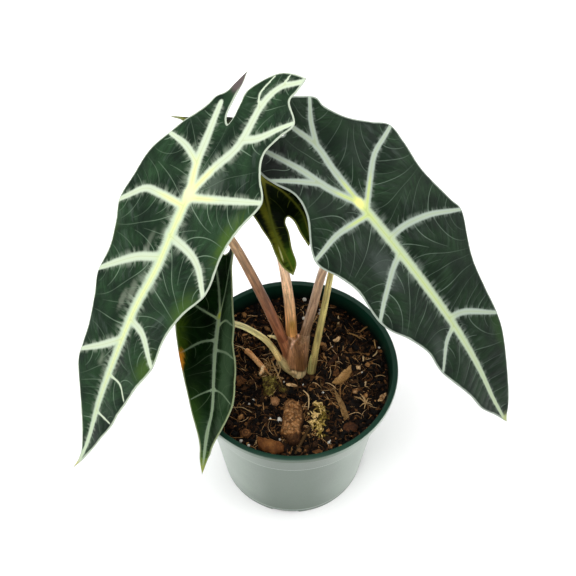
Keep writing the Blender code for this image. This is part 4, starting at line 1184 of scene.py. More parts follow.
def pot_looks(settings):
    """Moulded plastic: deep green on the rim and inside, with painted shade that darkens the inner wall
    towards the soil. The outer side is a pale sage, partly the plastic's colour and partly painted
    reflection, with a painted sheen that grows towards its left and right and painted highlights
    along its steps.
    """
    look = Look("pot_plastic", Specular_IOR_Level=0.22)
    spot = look.place()
    cloud, grain = look.noise(spot, 0.035, 3.0), look.noise(spot, 1.4, 2.0)
    deep = look.brighten(settings.rim_colour[:], 0.9, 1.1, cloud)
    shade = look.fall(look.part(spot, 2), 81.0, POT_HEIGHT - 0.6, 0.95)
    deep = look.mix(shade, deep, linear(3, 12, 8))
    inner = look.finish(deep, grain * 0.12 + 0.3, look.bump(grain, 0.12, 0.15))

    look = Look("pot_side", Coat_Weight=0.1, Coat_Roughness=0.3, Specular_IOR_Level=0.3, Sheen_Weight=0.1,
                Sheen_Roughness=0.3)
    spot = look.place()
    height = look.part(spot, 2)
    cloud, grain = look.noise(spot, 0.035, 3.0), look.noise(spot, 1.4, 2.0)
    rings = look.noise(look.vector(0.0, 0.0, height), 1.6, 2.0)
    # Painted sheen: the side grows paler towards its left and right, away from the front and back
    side_sheen = look.step(abs(look.part(spot, 0)) + cloud * 8.0, 12.0, 52.0)
    pale = look.mix(side_sheen, settings.side_colour[:], settings.painted_highlight_colour[:])
    pale = look.brighten(pale, 0.94, 1.05, cloud)
    pale = look.brighten(pale, 0.97, 1.03, rings)
    # Painted highlights: thin pale lines at the collar's step, just under the rim and just above the foot
    for level in (COLLAR + 0.3, POT_HEIGHT - RIM_HEIGHT - 0.5, 3.4):
        pale = look.mix(look.fall(abs(height - level), 0.3, 0.8, 0.8), pale, settings.painted_highlight_colour[:])
    pale = look.mix(look.fall(height, 2.4, 3.0, 0.6), pale, settings.foot_colour[:])
    return [inner, look.finish(pale, grain * 0.12 + 0.34, look.bump(grain + rings, 0.12, 0.15))]


# Soil


def on_piece(x, y, middle, half, turn):
    """How far inside a loose piece's footprint a spot is: 1 at its middle, 0 at its edge."""
    angle = math.radians(turn)
    dx, dy = x - middle[0], y - middle[1]
    along = dx * math.cos(angle) + dy * math.sin(angle)
    across = dy * math.cos(angle) - dx * math.sin(angle)
    return 1.0 - math.hypot(along / (half[0] + SEAT_MARGIN), across / (half[1] + SEAT_MARGIN))


def seat_height(middle):
    """The level of the flat spot under a loose piece."""
    return SOIL_LEVEL - 0.3 + 0.5 * noise.noise(Vector((middle[0] * 0.1, middle[1] * 0.1, 4.0)))


def soil_crumb(x, y):
    """The fine relief of the soil."""
    spot = Vector((x, y, 0))
    crumbs = 1.2 * noise.noise(spot * 0.5 + Vector((5, 1, 2))) + 0.9 * noise.noise(spot * 1.1)
    return crumbs + 0.4 * noise.noise(spot * 2.7)


def soil_height(x, y):
    """The soil's surface, with the solid's heaps and finer crumbs on them."""
    spot = Vector((x, y, 0))
    height = 1.2 * noise.noise(spot * 0.045 + Vector((3, 7, 1)))
    height += 1.5 * noise.noise(spot * 0.17 + Vector((9, 2, 5)))
    height += 1.3 * abs(noise.noise(spot * 0.33 + Vector((1, 4, 8))))
    edge = float(smooth((math.hypot(x, y) - 42.0) / 8.0))
    mound = math.exp(-(math.hypot(x - STEM_SPOT[0], y - STEM_SPOT[1]) / 13.0) ** 2)
    height = SOIL_LEVEL + height * (1.0 - 0.6 * edge) + 1.2 * mound - 0.8 * edge
    for middle, half, turn, _ in SEATS.values():
        share = float(smooth(on_piece(x, y, middle, half, turn) * 4.0 + 1.0))
        height += (seat_height(middle) - height) * share
    for middle, radius in ((STEM_SPOT, 7.0), (SPIKE_SPOT, 3.5)):
        share = float(smooth(2.0 - math.hypot(x - middle[0], y - middle[1]) / radius))
        height += (SOIL_LEVEL + 0.8 - height) * share
    return height + soil_crumb(x, y)


def soil_look():
    """Damp peat and bark, with painted shade that makes it near black in its hollows."""
    look = Look("potting_mix", Specular_IOR_Level=0.1)
    spot = look.place()
    warped = look.space("ADD", spot, look.noise(spot, 0.5, output="Color"))
    grain = look.noise(spot, 2.2, 4.0, 0.65)
    colour = look.ramp(look.cell_tone(warped, 0.6), (0.0, 5, 3, 1), (0.5, 15, 9, 5), (0.8, 58, 34, 17),
                       (0.97, 140, 96, 54))
    colour = look.brighten(colour, 0.35, 1.6, grain)
    # Painted shade: near black where the crumbs' relief is low
    colour = look.mix(look.step(look.measure("painted_hollow_shade"), 0.3, 0.75), colour, linear(5, 3, 2))
    return look.finish(colour, grain * 0.3 + 0.62, look.bump(grain, 0.8, 0.5))


def litter_look(name, *stops, rough=0.75, scale=0.9, low=0.5, high=1.45, spread=0.5):
    """A tone for each small piece, with its own grain."""
    look = Look(name, Specular_IOR_Level=0.12)
    spot = look.place()
    grain, fine = look.noise(spot, scale, 4.0, 0.65), look.noise(spot, scale * 3.5, 2.0)
    colour = look.ramp(look.measure("tone") + (grain - 0.5) * spread, *stops)
    colour = look.brighten(colour, low, high, fine)
    return look.finish(colour, fine * 0.2 + (rough - 0.1), look.bump(grain + fine, 0.6, 0.4))


def make_soil(settings):
    """The surface of the mix, its side and underside."""
    radius = inner_radius(SOIL_LEVEL) - 0.15
    steps = 200
    spacing = settings.grid / MM
    turns = circle(steps)
    flat = [(radius * math.cos(turn), radius * math.sin(turn)) for turn in turns]
    count = int(2.2 * radius / spacing)
    for row in range(int(count / ROW)):
        for column in range(count):
            x = (column + 0.5 * (row % 2) - count / 2) * spacing
            y = row * spacing * ROW - 1.1 * radius
            if math.hypot(x, y) < radius - 0.5 * spacing:
                flat.append((x, y))
    cut = delaunay_2d_cdt([Vector(point) for point in flat], [], [list(range(steps))], 1, 1e-3)
    points = [(point[0], point[1], soil_height(point[0], point[1])) for point in cut[0]]
    faces = [tuple(face) for face in cut[2]]
    rings = [range(steps)]
    well = CENTRE_RADIUS + 0.5 - SOIL_CLEARANCE
    for size, level in ((inner_radius(LEDGE) - SOIL_CLEARANCE, LEDGE),
                        (inner_radius(COLLAR) - SOIL_CLEARANCE, COLLAR),
                        (inner_radius(POT_FLOOR) - SOIL_CLEARANCE, POT_FLOOR + 0.3),
                        (well, POT_FLOOR + 0.3), (well - CENTRE_SLOPE, FLOOR + 0.3)):
        rings.insert(0, range(len(points), len(points) + steps))
        points += [(size * math.cos(turn), size * math.sin(turn), level) for turn in turns]
    faces += [*strips(rings), tuple(reversed(rings[0]))]
    made = new_piece("soil_mix", points, faces, [soil_look()], sharp=None)
    # Painted shade in the hollows: strongest where the crumbs' relief is low
    crumbs = np.zeros(len(points))
    crumbs[:len(cut[0])] = [soil_crumb(x, y) for x, y, _ in points[:len(cut[0])]]
    carry(made, "painted_hollow_shade", np.clip(0.5 - crumbs / 1.6, 0, 1))
    return keep(made, "potting_mix", "soil")


class Ground:
    """Finds the soil's surface below a spot."""

    def __init__(self, piece):
        mesh = piece.data
        self.tree = BVHTree.FromPolygons([vertex.co / MM for vertex in mesh.vertices],
                                         [tuple(face.vertices) for face in mesh.polygons])

    def at(self, x, y):
        """The surface's height there."""
        spot = self.tree.ray_cast(Vector((x, y, 130.0)), Vector((0, 0, -1)))[0]
        return SOIL_LEVEL if spot is None else spot.z


def ball(subdivisions):
    """Points and faces of a sphere of radius 1."""
    shape = bmesh.new()
    bmesh.ops.create_icosphere(shape, subdivisions=subdivisions, radius=1.0)
    points = np.array([vertex.co for vertex in shape.verts])
    faces = [tuple(vertex.index for vertex in face.verts) for face in shape.faces]
    shape.free()
    return points, faces


def turned(chance, tilt):
    """A random turn about the vertical and a tilt of up to so many degrees."""
    spin = Matrix.Rotation(chance.uniform(0, TURN), 3, "Z")
    lean = Matrix.Rotation(math.radians(chance.uniform(-tilt, tilt)), 3, "X")
    roll = Matrix.Rotation(math.radians(chance.uniform(-tilt, tilt)), 3, "Y")
    return np.array(spin @ lean @ roll)


def free_spot(chance, radius):
    """A random spot on the soil that is clear of the stalks."""
    while True:
        x, y = chance.uniform(-radius, radius), chance.uniform(-radius, radius)
        if math.hypot(x, y) < radius and all(math.hypot(x - spot[0], y - spot[1]) > size
                                             for spot, size in ((STEM_SPOT, 6.2), (SPIKE_SPOT, 2.8))):
            return x, y


def chip(chance, length, width, thick):
    """A flat splinter of bark with broken ends, as points and faces."""
    sides = chance.randint(6, 9)
    ring = []
    for index in range(sides):
        angle = TURN * (index + chance.uniform(-0.3, 0.3)) / sides
        ring.append((0.5 * length * math.cos(angle) * chance.uniform(0.7, 1.15),
                     0.5 * width * math.sin(angle) * chance.uniform(0.7, 1.15)))
    arch = chance.uniform(-0.12, 0.12) * length
    points = []
    for level, size in ((0.5, 0.86), (0.25, 1.0), (-0.25, 1.0), (-0.5, 0.86)):
        for x, y in ring:
            points.append((x * size, y * size, level * thick + arch * (2 * x / length) ** 2))
    points += [(0, 0, 0.5 * thick), (0, 0, -0.5 * thick)]
    rings = [range(start, start + sides) for start in (3 * sides, 2 * sides, sides, 0)]
    return np.array(points), strips([[4 * sides + 1] * sides, *rings, [4 * sides] * sides])


def make_crumbs(settings, ground):
    """Crumbs, bark chips, fibres and perlite strewn over the mix."""
    chance = random.Random(11)
    radius = inner_radius(SOIL_LEVEL)
    small, large = ball(1), ball(2)
    heap = Heap()
    for index in range(settings.crumbs):
        size = 0.45 + 1.1 * chance.random() ** 2.2
        points, faces = large if size > 1.0 else small
        x, y = free_spot(chance, radius - size - 0.4)
        shift = Vector((index * 0.37, index * 0.11, 0))
        stretch = np.array([chance.uniform(0.8, 1.5), chance.uniform(0.7, 1.1), chance.uniform(0.5, 0.9)])
        height = ground.at(x, y)
        lumpy = points * (1 + lumps(points, 1.6, shift, 0.55))[:, None]
        placed = (lumpy * stretch * size) @ turned(chance, 40).T
        heap.add(placed + (x, y, height + 0.25 * size), faces, chance.random() ** 3.0)
    heap.build("soil_crumbs", litter_look(
        "crumb", (0.0, 5, 3, 1), (0.4, 20, 12, 6), (0.75, 68, 44, 21), (1.0, 180, 132, 80)),
        "potting_mix", sharp=35)

    heap = Heap()
    for _ in range(settings.chips):
        length = 1.6 + 5.6 * chance.random() ** 2
        width = length * chance.uniform(0.14, 0.5)
        x, y = free_spot(chance, radius - 0.6 * length)
        height = ground.at(x, y)
        points, faces = chip(chance, length, width, chance.uniform(0.5, 1.1))
        placed = points @ turned(chance, 32).T
        heap.add(placed + (x, y, height + 0.35), faces, chance.random() ** 2.4)
    heap.build("bark_flakes", litter_look(
        "bark_flake", (0.0, 7, 4, 2), (0.4, 30, 17, 8), (0.75, 86, 56, 28), (1.0, 204, 154, 96),
        scale=1.1, low=0.35, high=1.6), "bark")

    heap = Heap()
    for _ in range(settings.fibres):
        length = chance.uniform(3.0, 13.0)
        thin = 0.08 + 0.17 * chance.random() ** 1.8
        x, y = free_spot(chance, radius - 0.5 * length)
        heading, curve = chance.uniform(0, TURN), chance.uniform(-0.35, 0.35)
        path, count = [], 7
        for step in range(count):
            t = step / (count - 1)
            height = ground.at(x, y)
            arch = math.sin(math.pi * t) * chance.uniform(0.2, 0.9)
            path.append((x, y, height + 0.25 + arch))
            heading += curve * length / count * 0.6
            x += math.cos(heading) * length / count
            y += math.sin(heading) * length / count
        if max(math.hypot(point[0], point[1]) for point in path) > radius - 0.5:
            continue
        path = [path[0]] + [tuple((np.array(a) + 2 * np.array(b) + np.array(c)) / 4)
                            for a, b, c in zip(path, path[1:], path[2:])] + [path[-1]]
        points, faces = tube(path, [thin * 0.5, thin, thin, thin * 0.4], 4, (0, 0, 1))
        heap.add(points, faces, chance.random() ** 1.7)
    heap.build("root_fibres", litter_look(
        "fibre", (0.0, 24, 14, 6), (0.4, 84, 54, 26), (0.75, 182, 136, 82), (1.0, 244, 206, 152),
        rough=0.6, low=0.7, high=1.3), "potting_mix", sharp=None)

    heap = Heap()
    spots = list(WHITE_GRAINS)
    for _ in range(settings.perlite):
        spots.append((*free_spot(chance, radius - 2), 0.3 + 0.35 * chance.random()))
    for index, (x, y, size) in enumerate(spots):
        points, faces = ball(3)
        shift = Vector((index * 1.3, 0, 4))
        lumpy = points * (1 + lumps(points, 1.4, shift, 0.3))[:, None]
        height = ground.at(x, y)
        placed = (lumpy * size) @ turned(chance, 90).T
        heap.add(placed + (x, y, height + 0.5 * size), faces, chance.random())
    heap.build("perlite", litter_look(
        "perlite", (0.0, 196, 192, 178), (1.0, 240, 238, 228), rough=0.8, low=0.85, high=1.1),
        "pebble", sharp=None)


WHITE_GRAINS = [(-7.1, -26.3, 1.4), (6.3, 48.0, 1.1), (5.7, 35.4, 0.9), (18.3, -38.9, 1.2),
                (-26.2, -38.4, 0.9), (-11.6, -26.3, 0.5), (-22.3, -41.1, 0.7), (45.5, 17.2, 0.6),
                (14.6, 40.9, 0.9), (14.4, 37.7, 0.8), (-20.5, -15.3, 0.9)]

# Where the moss's small leaves lie thick: place, spread, tone and count
TUFTS = [((12.6, -16.9), (2.0, 1.6), 0.95, 26), ((14.4, -19.6), (1.8, 1.8), 0.75, 26),
         ((15.4, -22.4), (1.8, 1.8), 0.5, 28), ((11.6, -24.7), (2.0, 1.0), 0.95, 24),
         ((15.4, -26.2), (1.8, 2.6), 0.5, 36), ((10.4, -28.5), (1.6, 0.9), 0.9, 20),
         ((13.2, -30.6), (1.8, 2.0), 0.75, 32), ((15.2, -29.8), (1.4, 1.8), 0.5, 16),
         ((13.9, -34), (1.4, 2.0), 0.6, 18), ((16.8, -35.6), (1.6, 0.9), 0.3, 10)]

# Outlines of the loose pieces in the plant's x and y, each with its thickness, the height of
# its middle over the soil, the direction and slope it is tilted by, its bend and its tone.
PLATES = {
    "bark_chunk": ([(-4.6, -17.4), (-0.6, -16.3), (3.8, -17.6), (5.2, -22.6), (5.2, -27.8), (4.2, -31.4),
        (4.1, -36.0), (3.2, -40.4), (0.5, -42.2), (-2.7, -40.6), (-4, -38), (-6.5, -35.6), (-5.9, -31),
        (-5.3, -26)], 8.4, 2.4, 90, 0.03, 0.0, 0.5),
    "bark_chip_front": ([(-18.2, -37), (-14, -37.9), (-11.2, -38.8), (-7, -39.6), (-4.3, -42.4),
        (-5.1, -45.4), (-9.5, -46.4), (-14.4, -45), (-17.8, -42)], 2.4, 1.9, 80, 0.22, 0.03, 0.5),
    "bark_chip_left": ([(-27.1, -33.6), (-24.7, -32), (-21.6, -32.6), (-20.9, -35.1), (-22.9, -37.3),
        (-26.2, -36.8)], 2.2, 1.2, 90, 0.1, 0.04, 0.4),
    "bark_chip_right": ([(24.6, -32.4), (26, -29), (30.2, -28.4), (33, -30.3), (32.2, -33.8),
        (27.7, -34.6)], 2.4, 1.4, 60, 0.12, 0.04, 0.4),
    "tan_chip": ([(19.6, -5.8), (25.2, 0.8), (30.2, 5.4), (30.6, 2.2), (29.4, -1.8), (26.3, -4.6),
        (22.9, -6.1)], 1.5, 1.6, 135, 0.3, 0.02, 0.6),
    "leaf_sliver": ([(20.7, -6.8), (22.2, -10), (24.6, -14), (27.1, -19.8), (28.4, -25), (26.9, -26.4),
        (25.6, -26), (23.6, -19.2), (21.9, -13.3)], 1.0, 1.2, 20, 0.05, 0.1, 0.55),
    "pebble": ([(-11.4, -14.4), (-8.6, -13.9), (-6.8, -15), (-7, -17.8), (-9, -19), (-11.4, -17.6)],
        3.2, 1.4, 90, 0.0, 0.0, 0.5)}

# Tone, radii and path of each straw, with heights over the soil
STRAWS = [
    (0.25, [0.8, 1.0, 0.9, 0.5], [(8.3, -30.7, 0.8), (5.6, -36.4, 1.2), (3.2, -41.6, 1.4),
     (1, -46.2, 1)]),
    (0.9, [0.25, 0.4, 0.35, 0.2], [(5.2, -10.6, 0.8), (7.7, -13.3, 1.6), (8.0, -17.2, 1.4),
     (7.6, -20.5, 0.5)]),
    (0.3, [0.3, 0.35, 0.2], [(14.1, -3.4, 0.8), (14.3, -7.4, 1.2), (15.4, -12.7, 0.6)]),
    (0.85, [0.15, 0.2, 0.15], [(-31.1, -19.8, 0.8), (-26, -20.8, 1.8), (-20.9, -23, 1.0)]),
    (0.95, [0.14, 0.22, 0.3], [(-29.6, 17.4, 1.2), (-26.8, 15.8, 2.2), (-23.6, 13.6, 2.4)]),
    (0.75, [0.3, 0.45, 0.4, 0.2], [(-11.6, 8.1, 1.0), (-9.8, 4, 1.8), (-8, -0.8, 1.8),
     (-6.3, -5.4, 1)]),
    (0.8, [0.2, 0.35, 0.3], [(-8.1, 6.7, 1.0), (-6.6, 1.6, 2.2), (-8.6, -2.7, 1.4)]),
    (0.7, [0.25, 0.4, 0.3], [(-16.2, 3.3, 2.6), (-13.5, 0.6, 2.4), (-9.5, -4.1, 1.6)]),
    (0.65, [0.2, 0.3, 0.2], [(-13, 9, 1.0), (-11.6, 4, 2.0), (-12.6, 0.4, 1.2)]),
    (0.95, [0.3, 0.5, 0.4], [(36.8, 11.5, 1.0), (36.9, 9.8, 1.4), (36.7, 8.1, 1.0)]),
    (0.95, [0.4, 0.6, 0.4], [(37.7, -3.8, 1.0), (37.3, -5.4, 1.4), (37, -7, 1.0)]),
    (0.7, [0.3, 0.45, 0.4], [(43.1, 21.6, 1.2), (43.3, 19, 1.6), (43.5, 16.4, 1.2)]),
    (0.95, [0.3, 0.5, 0.45], [(24.4, 36.7, 1.0), (24.3, 34, 1.6), (24.2, 31, 1.0)]),
    (0.6, [0.3, 0.35, 0.2], [(28.8, 25.7, 1.0), (33, 23.6, 1.6), (36.9, 21.2, 1.0)]),
    (0.55, [0.3, 0.5, 0.3], [(35.9, 26.8, 1.0), (38, 28.7, 1.4), (40.5, 30.7, 1.0)]),
    (0.8, [0.15, 0.25, 0.15], [(42.4, -1.4, 1.0), (45.5, -0.7, 1.6), (48, -1.1, 1.0)]),
    (0.9, [0.3, 0.45, 0.2], [(41.8, 10.8, 1.0), (43.6, 12.4, 1.6), (44.3, 14.9, 1.0)]),
    (0.2, [0.3, 0.35, 0.25], [(32.7, 1.3, 0.8), (33.4, -4, 1.2), (33.3, -8.7, 0.8)])]

# Tone, thickness, height, direction, slope and outline of each small bit of bark
BARK_BITS = [
    (0.9, 1.0, 1.2, 60, 0.2, [(20.9, 20.5), (23, 22.4), (25.6, 22.8), (24.4, 20.2), (22.6, 19.4)]),
    (0.95, 1.5, 1.1, 0, 0.0, [(-4.2, -5.6), (-1.5, -5.8), (1, -6.4), (2.5, -7.6), (0, -8),
     (-3, -7.6)]),
    (0.98, 1.8, 1.6, 0, 0.0, [(32.8, 5.6), (34.9, 5.6), (35.1, 3.2), (33, 3)]),
    (0.8, 0.9, 1.3, 140, 0.3, [(43, -16.4), (45, -12.6), (48.2, -10.2), (47.8, -12.6),
     (45.6, -15.6)]),
    (0.35, 1.5, 1.2, 0, 0.1, [(16.6, 4), (19, 8.4), (22.6, 12.2), (24.4, 12), (22.6, 8),
     (19, 4.6)]),
    (0.5, 1.2, 1.3, 90, 0.3, [(22.6, 5.3), (24.4, 0.4), (24.2, -0.7), (20.2, -0.7)]),
    (0.55, 1.4, 1.0, 30, 0.1, [(-33, -2), (-27, -1), (-24, -4), (-27, -7.4), (-32, -6.6)]),
    (0.45, 1.4, 1.0, 120, 0.1, [(-38, 20), (-33, 23), (-31, 20), (-35, 17)]),
    (0.6, 1.2, 1.0, 200, 0.1, [(9, -44.4), (13, -43), (15.6, -44), (12, -46.2)]),
    (0.7, 1.2, 1.0, 80, 0.2, [(30, -9), (34, -8.4), (34.6, -11), (31, -11.4)])]

# Tone, thickness and outline of each mossy bit
MOSSY_BITS = [
    (0.52, 3.4, [(-16, -2.6), (-12.4, -1.6), (-8.6, -2.2), (-7.8, -7.4), (-10.4, -12.4),
     (-15.2, -12.8)]),
    (0.3, 2.2, [(-8, -5.4), (-4.8, -7), (-0.8, -9.4), (-2.9, -12), (-7.4, -10.6)])]


def ground_level(x, y):
    """The level of the soil's heaps at a spot, without the crumbs."""
    return soil_height(x, y) - soil_crumb(x, y)


def chords(faces, count):
    """The edges that join two of the first points across the inside of a flat mesh."""
    uses = {}
    for face in faces:
        for pair in zip(face, face[1:] + face[:1]):
            if max(pair) < count:
                uses[tuple(sorted(pair))] = uses.get(tuple(sorted(pair)), 0) + 1
    return [pair for pair, times in uses.items() if times == 2]


def plate(outline, thick, above, heading, slope, bend, seed, spacing=0.5, grain=0.25, crown=0.4):
    """Points, faces and edge nearness of a closed, crowned chip with a ragged edge."""
    corners = [np.array(point, float) for point in outline]
    edge = []
    for first, second in zip(corners, corners[1:] + corners[:1]):
        count = max(1, round(float(np.linalg.norm(second - first)) / spacing))
        edge += [first + (second - first) * index / count for index in range(count)]
    shift = Vector((seed * 3.7, seed * 1.9, seed * 5.3))
    edge = [point + 0.45 * np.array(noise.noise_vector(Vector((*point, 0)) * 0.8 + shift))[:2]
            for point in edge]
    border = [(1.0, edge + edge[:1])]
    grid = grid_within(edge, spacing)
    grid = list(grid[reach(grid, border)[0] > 0.45 * spacing])
    for _ in range(4):
        cut = delaunay_2d_cdt([Vector(point) for point in edge + grid], [], [range(len(edge))], 1, 1e-3)
        flat = np.array([tuple(point) for point in cut[0]])
        faces = [list(face) for face in cut[2] if max(face) >= len(edge)]
        middles = [(flat[first] + flat[second]) / 2 for first, second in chords(faces, len(edge))]
        if not middles:
            break
        grid += [middle for middle, away in zip(middles, reach(middles, border)[0]) if away > 0.05]
    faces = facing_up(flat, np.array(faces))
    rim = np.zeros(len(flat), bool)
    rim[:len(edge)] = True
    away = np.where(rim, 0.0, reach(flat, border)[0])
    swell = np.clip(away / (crown * away.max()), 0, 1)
    swell = np.sqrt(swell * (2 - swell))
    middle = flat.mean(axis=0)
    ahead = (flat - middle) @ (math.cos(math.radians(heading)), math.sin(math.radians(heading)))
    level = ground_level(*middle) + above + slope * ahead - bend * ahead * ahead
    rough = lumps(flat, 0.55, shift) + lumps(flat, 1.3, shift, 0.6) + lumps(flat, 2.8, shift, 0.4)
    top = level + swell * (thick / 2 + grain * rough)
    bottom = level - swell * thick / 2
    below = np.where(rim, np.arange(len(flat)), np.cumsum(~rim) - 1 + len(flat))
    points = np.concatenate([np.column_stack([flat, top]), np.column_stack([flat, bottom])[~rim]])
    used, faces = np.unique(np.concatenate([faces, below[faces[:, ::-1]]]), return_inverse=True)
    return points[used], faces.reshape(-1, 3).tolist(), np.concatenate([swell, swell[~rim]])[used]


def straw(heap, path, radii, tone, sides=7):
    """Add a thin straw that lies on the soil along flat spots, at heights over it."""
    path = spline([(x, y, ground_level(x, y) + above) for x, y, above in path], 0.7)
    points, faces = tube(path, radii, sides, (0.0, 0.0, 1.0))
    shift = Vector((heap.count * 0.01, 3, 1))
    points = points + 0.3 * min(radii) * np.array([noise.noise_vector(Vector(point) * 1.3 + shift)
                                                   for point in points])
    heap.add(points, faces, tone)


def make_splinter():
    """The forked splinter of pale wood."""
    heap = Heap()
    straw(heap, [(-24.6, 14.4, 1.8), (-21.6, 11, 2.2), (-18.6, 7.2, 2.2), (-15.6, 3.6, 1.9),
                 (-14.4, 1.6, 1.6)], [1.35, 1.5, 1.25, 1.45, 1.3, 0.9], 0.6, 14)
    straw(heap, [(-15.6, 4.2, 2.1), (-15.9, 1.8, 2.0), (-17.2, -0.6, 1.4)], [1.2, 1.0, 0.8], 0.9, 12)
    straw(heap, [(-14.8, 2.6, 2.0), (-12.4, 0.2, 1.4)], [0.9, 0.3], 0.45, 10)
    straw(heap, [(-25.2, 12.6, 1.6), (-23.4, 13.6, 2.2)], [0.5, 0.9], 0.4, 10)
    return heap


def make_tuft(chance):
    """The tuft of dry moss: a near black core, partly the moss's dark inside and partly painted shade in
    the gaps, with many small bent leaves.
    """
    middle, half, turn, tall = SEATS["moss_tuft"]
    angle = math.radians(turn)
    heap = Heap()
    base = seat_height(middle)
    points, faces = ball(4)
    core = np.array([0.82 * half[0], 0.82 * half[1], 0.55 * tall])
    points = points * (1 + lumps(points, 2.5, Vector(), 0.25))[:, None] * core
    spin = np.array(Matrix.Rotation(angle, 3, "Z"))
    # The near black core is partly the moss's dark inside and partly painted shade in the gaps between the
    # leaves
    heap.add(points @ spin.T + (middle[0], middle[1], base + 0.2), faces, 0.08)
    for (x, y), spread, tone, count in TUFTS:
        for _ in range(count):
            spot = np.array([chance.gauss(x, 0.5 * spread[0]), chance.gauss(y, 0.5 * spread[1])])
            far = min(1.0, math.hypot(*((spot - middle) / half)))
            top = base + tall * (0.25 + 0.5 * math.sqrt(1.0 - far * far) + chance.uniform(-0.1, 0.15))
            heading = chance.gauss(math.radians(200), 1.1)
            step = np.array([math.cos(heading), math.sin(heading), chance.uniform(-0.2, 0.6)])
            bow = np.array([-math.sin(heading), math.cos(heading), 0.0]) * chance.uniform(-0.9, 0.9)
            length = chance.uniform(1.2, 2.6)
            path = [np.array([*spot, top]) + step * length * t + (bow + (0, 0, -0.6)) * length * t * t
                    for t in (0, 0.25, 0.5, 0.75, 1.0)]
            wide = chance.uniform(0.24, 0.46)
            points, faces = tube(path, [0.4 * wide, wide, wide, 0.8 * wide, 0.2 * wide], 6, (0, 0.1, 1))
            heap.add(points, faces, min(1.0, max(0.1, tone + chance.gauss(0.0, 0.16))))
    return heap


def make_litter():
    """The loose pieces that lie on the mix."""
    noise.seed_set(NOISE_SEED)
    bark = (0.0, 30, 17, 7), (0.45, 92, 58, 28), (0.8, 136, 94, 54), (1.0, 190, 148, 104)
    looks = {
        "bark_chunk": ("bark", cork_look()),
        "bark_chip_front": ("bark", litter_look(
            "smooth_bark", (0.0, 44, 23, 9), (0.5, 90, 52, 20), (0.85, 132, 86, 42), (1.0, 230, 192, 146),
            scale=0.25, low=0.75, high=1.2, spread=1.2)),
        "bark_chip_left": ("bark", litter_look("round_bark", *bark, scale=0.5, spread=1.2)),
        "bark_chip_right": ("bark", litter_look(
            "red_bark", (0.0, 26, 13, 6), (0.5, 70, 40, 19), (1.0, 112, 70, 38), scale=0.4, spread=1.4)),
        "tan_chip": ("pale_wood", litter_look(
            "split_wood", (0.0, 84, 62, 26), (0.5, 150, 112, 64), (1.0, 206, 164, 108), scale=0.4,
            spread=1.0)),
        "leaf_sliver": ("pale_wood", litter_look(
            "dry_leaf", (0.0, 44, 30, 14), (0.5, 110, 82, 46), (1.0, 204, 164, 108), scale=0.5, low=0.4,
            high=1.5)),
        "pebble": ("pebble", litter_look(
            "stone", (0.0, 96, 62, 36), (0.5, 146, 104, 66), (1.0, 190, 146, 104), scale=0.5, spread=1.6))}
    for seed, (name, (outline, *form, tone)) in enumerate(PLATES.items(), 1):
        large = name == "bark_chunk"
        spacing, grain, crown = (0.4, 0.8, 1.0) if large else (0.45, 0.3, 0.4)
        points, faces, swell = plate(outline, *form, seed, spacing, grain, crown)
        slot, look = looks[name]
        made = new_piece(name + "_fine", points, faces, [look], sharp=50)
        x, y = points[:, 0], points[:, 1]
        tones = tone + 0.25 * (1.0 - swell)
        if large:
            # Painted shade: the tone, and with it the dark, rises towards the chunk's right side; it also
            # rises towards its edges and its front and back ends
            tones = (0.15 + 0.6 * smooth((0.72 - swell) / 0.45) + 0.035 * (x + 0.8)
                     + 0.6 * smooth((-34.5 - y) / 4.0) + 0.25 * smooth((y + 20.5) / 3.0))
        elif name == "bark_chip_left":
            middle = np.mean(outline, axis=0)
            tones = tone + 0.22 * np.sin(np.hypot(x - middle[0], y - middle[1]) * 5.0)
        elif name == "bark_chip_front":
            # Painted highlight: lighter towards the edge at its back
            tones = tone + 0.55 * (1.0 - swell) * smooth((y + 42.0) / 2.0)
        elif name == "tan_chip":
            # Painted shade: darker towards its front right
            tones = tone + 0.045 * ((y + 1.0) - (x - 25.0))
        carry(made, "tone", np.clip(tones, 0, 1))
        keep(made, slot, name)
    make_splinter().build("wood_splinter_fine", litter_look(
        "pink_wood", (0.0, 112, 70, 36), (0.45, 212, 146, 88), (0.75, 246, 190, 130), (1.0, 255, 228, 178),
        scale=0.5, low=0.6, high=1.35, spread=1.3), "pale_wood", "wood_splinter")
    make_tuft(random.Random(23)).build("moss_tuft_fine", litter_look(
        "moss", (0.0, 5, 4, 1), (0.35, 54, 42, 12), (0.62, 146, 124, 46), (1.0, 244, 210, 140),
        scale=0.8, low=0.5, high=1.4, spread=1.0), "moss", "moss_tuft", sharp=None)
    make_strays()


def cork_look():
    """Corky bark: brown with paler grains in its upper part, dark cracks and painted shade where its tone
    is high.
    """
    look = Look("cork_bark", Specular_IOR_Level=0.12)
    spot = look.place()
    grains = look.cells(spot, 0.75)
    patchy, fine = look.noise(spot, 0.22, 3.0, 0.6), look.noise(spot, 2.4, 4.0, 0.7)
    colour = look.ramp(patchy, (0.3, 84, 48, 18), (0.5, 122, 78, 38), (0.7, 150, 104, 60))
    side = look.measure("tone") + (patchy - 0.5) * 0.6
    pale = look.fall(grains, 0.0, 0.9) * look.step(side, 0.2, 0.7, 1.0, 0.3)
    colour = look.mix(pale * 0.65, colour, linear(202, 156, 106))
    colour = look.brighten(colour, 0.5, 1.35, look.cell_tone(spot, 0.75))
    colour = look.brighten(colour, 0.35, 1.6, fine)
    # Painted shade: darker where the tone is high, towards the chunk's right side and edges
    colour = look.mix(look.step(side, 0.35, 1.0, 0.0, 0.85), colour, linear(40, 20, 7))
    return look.finish(colour, fine * 0.2 + 0.6, look.bump(fine - grains, 0.9, 0.7))


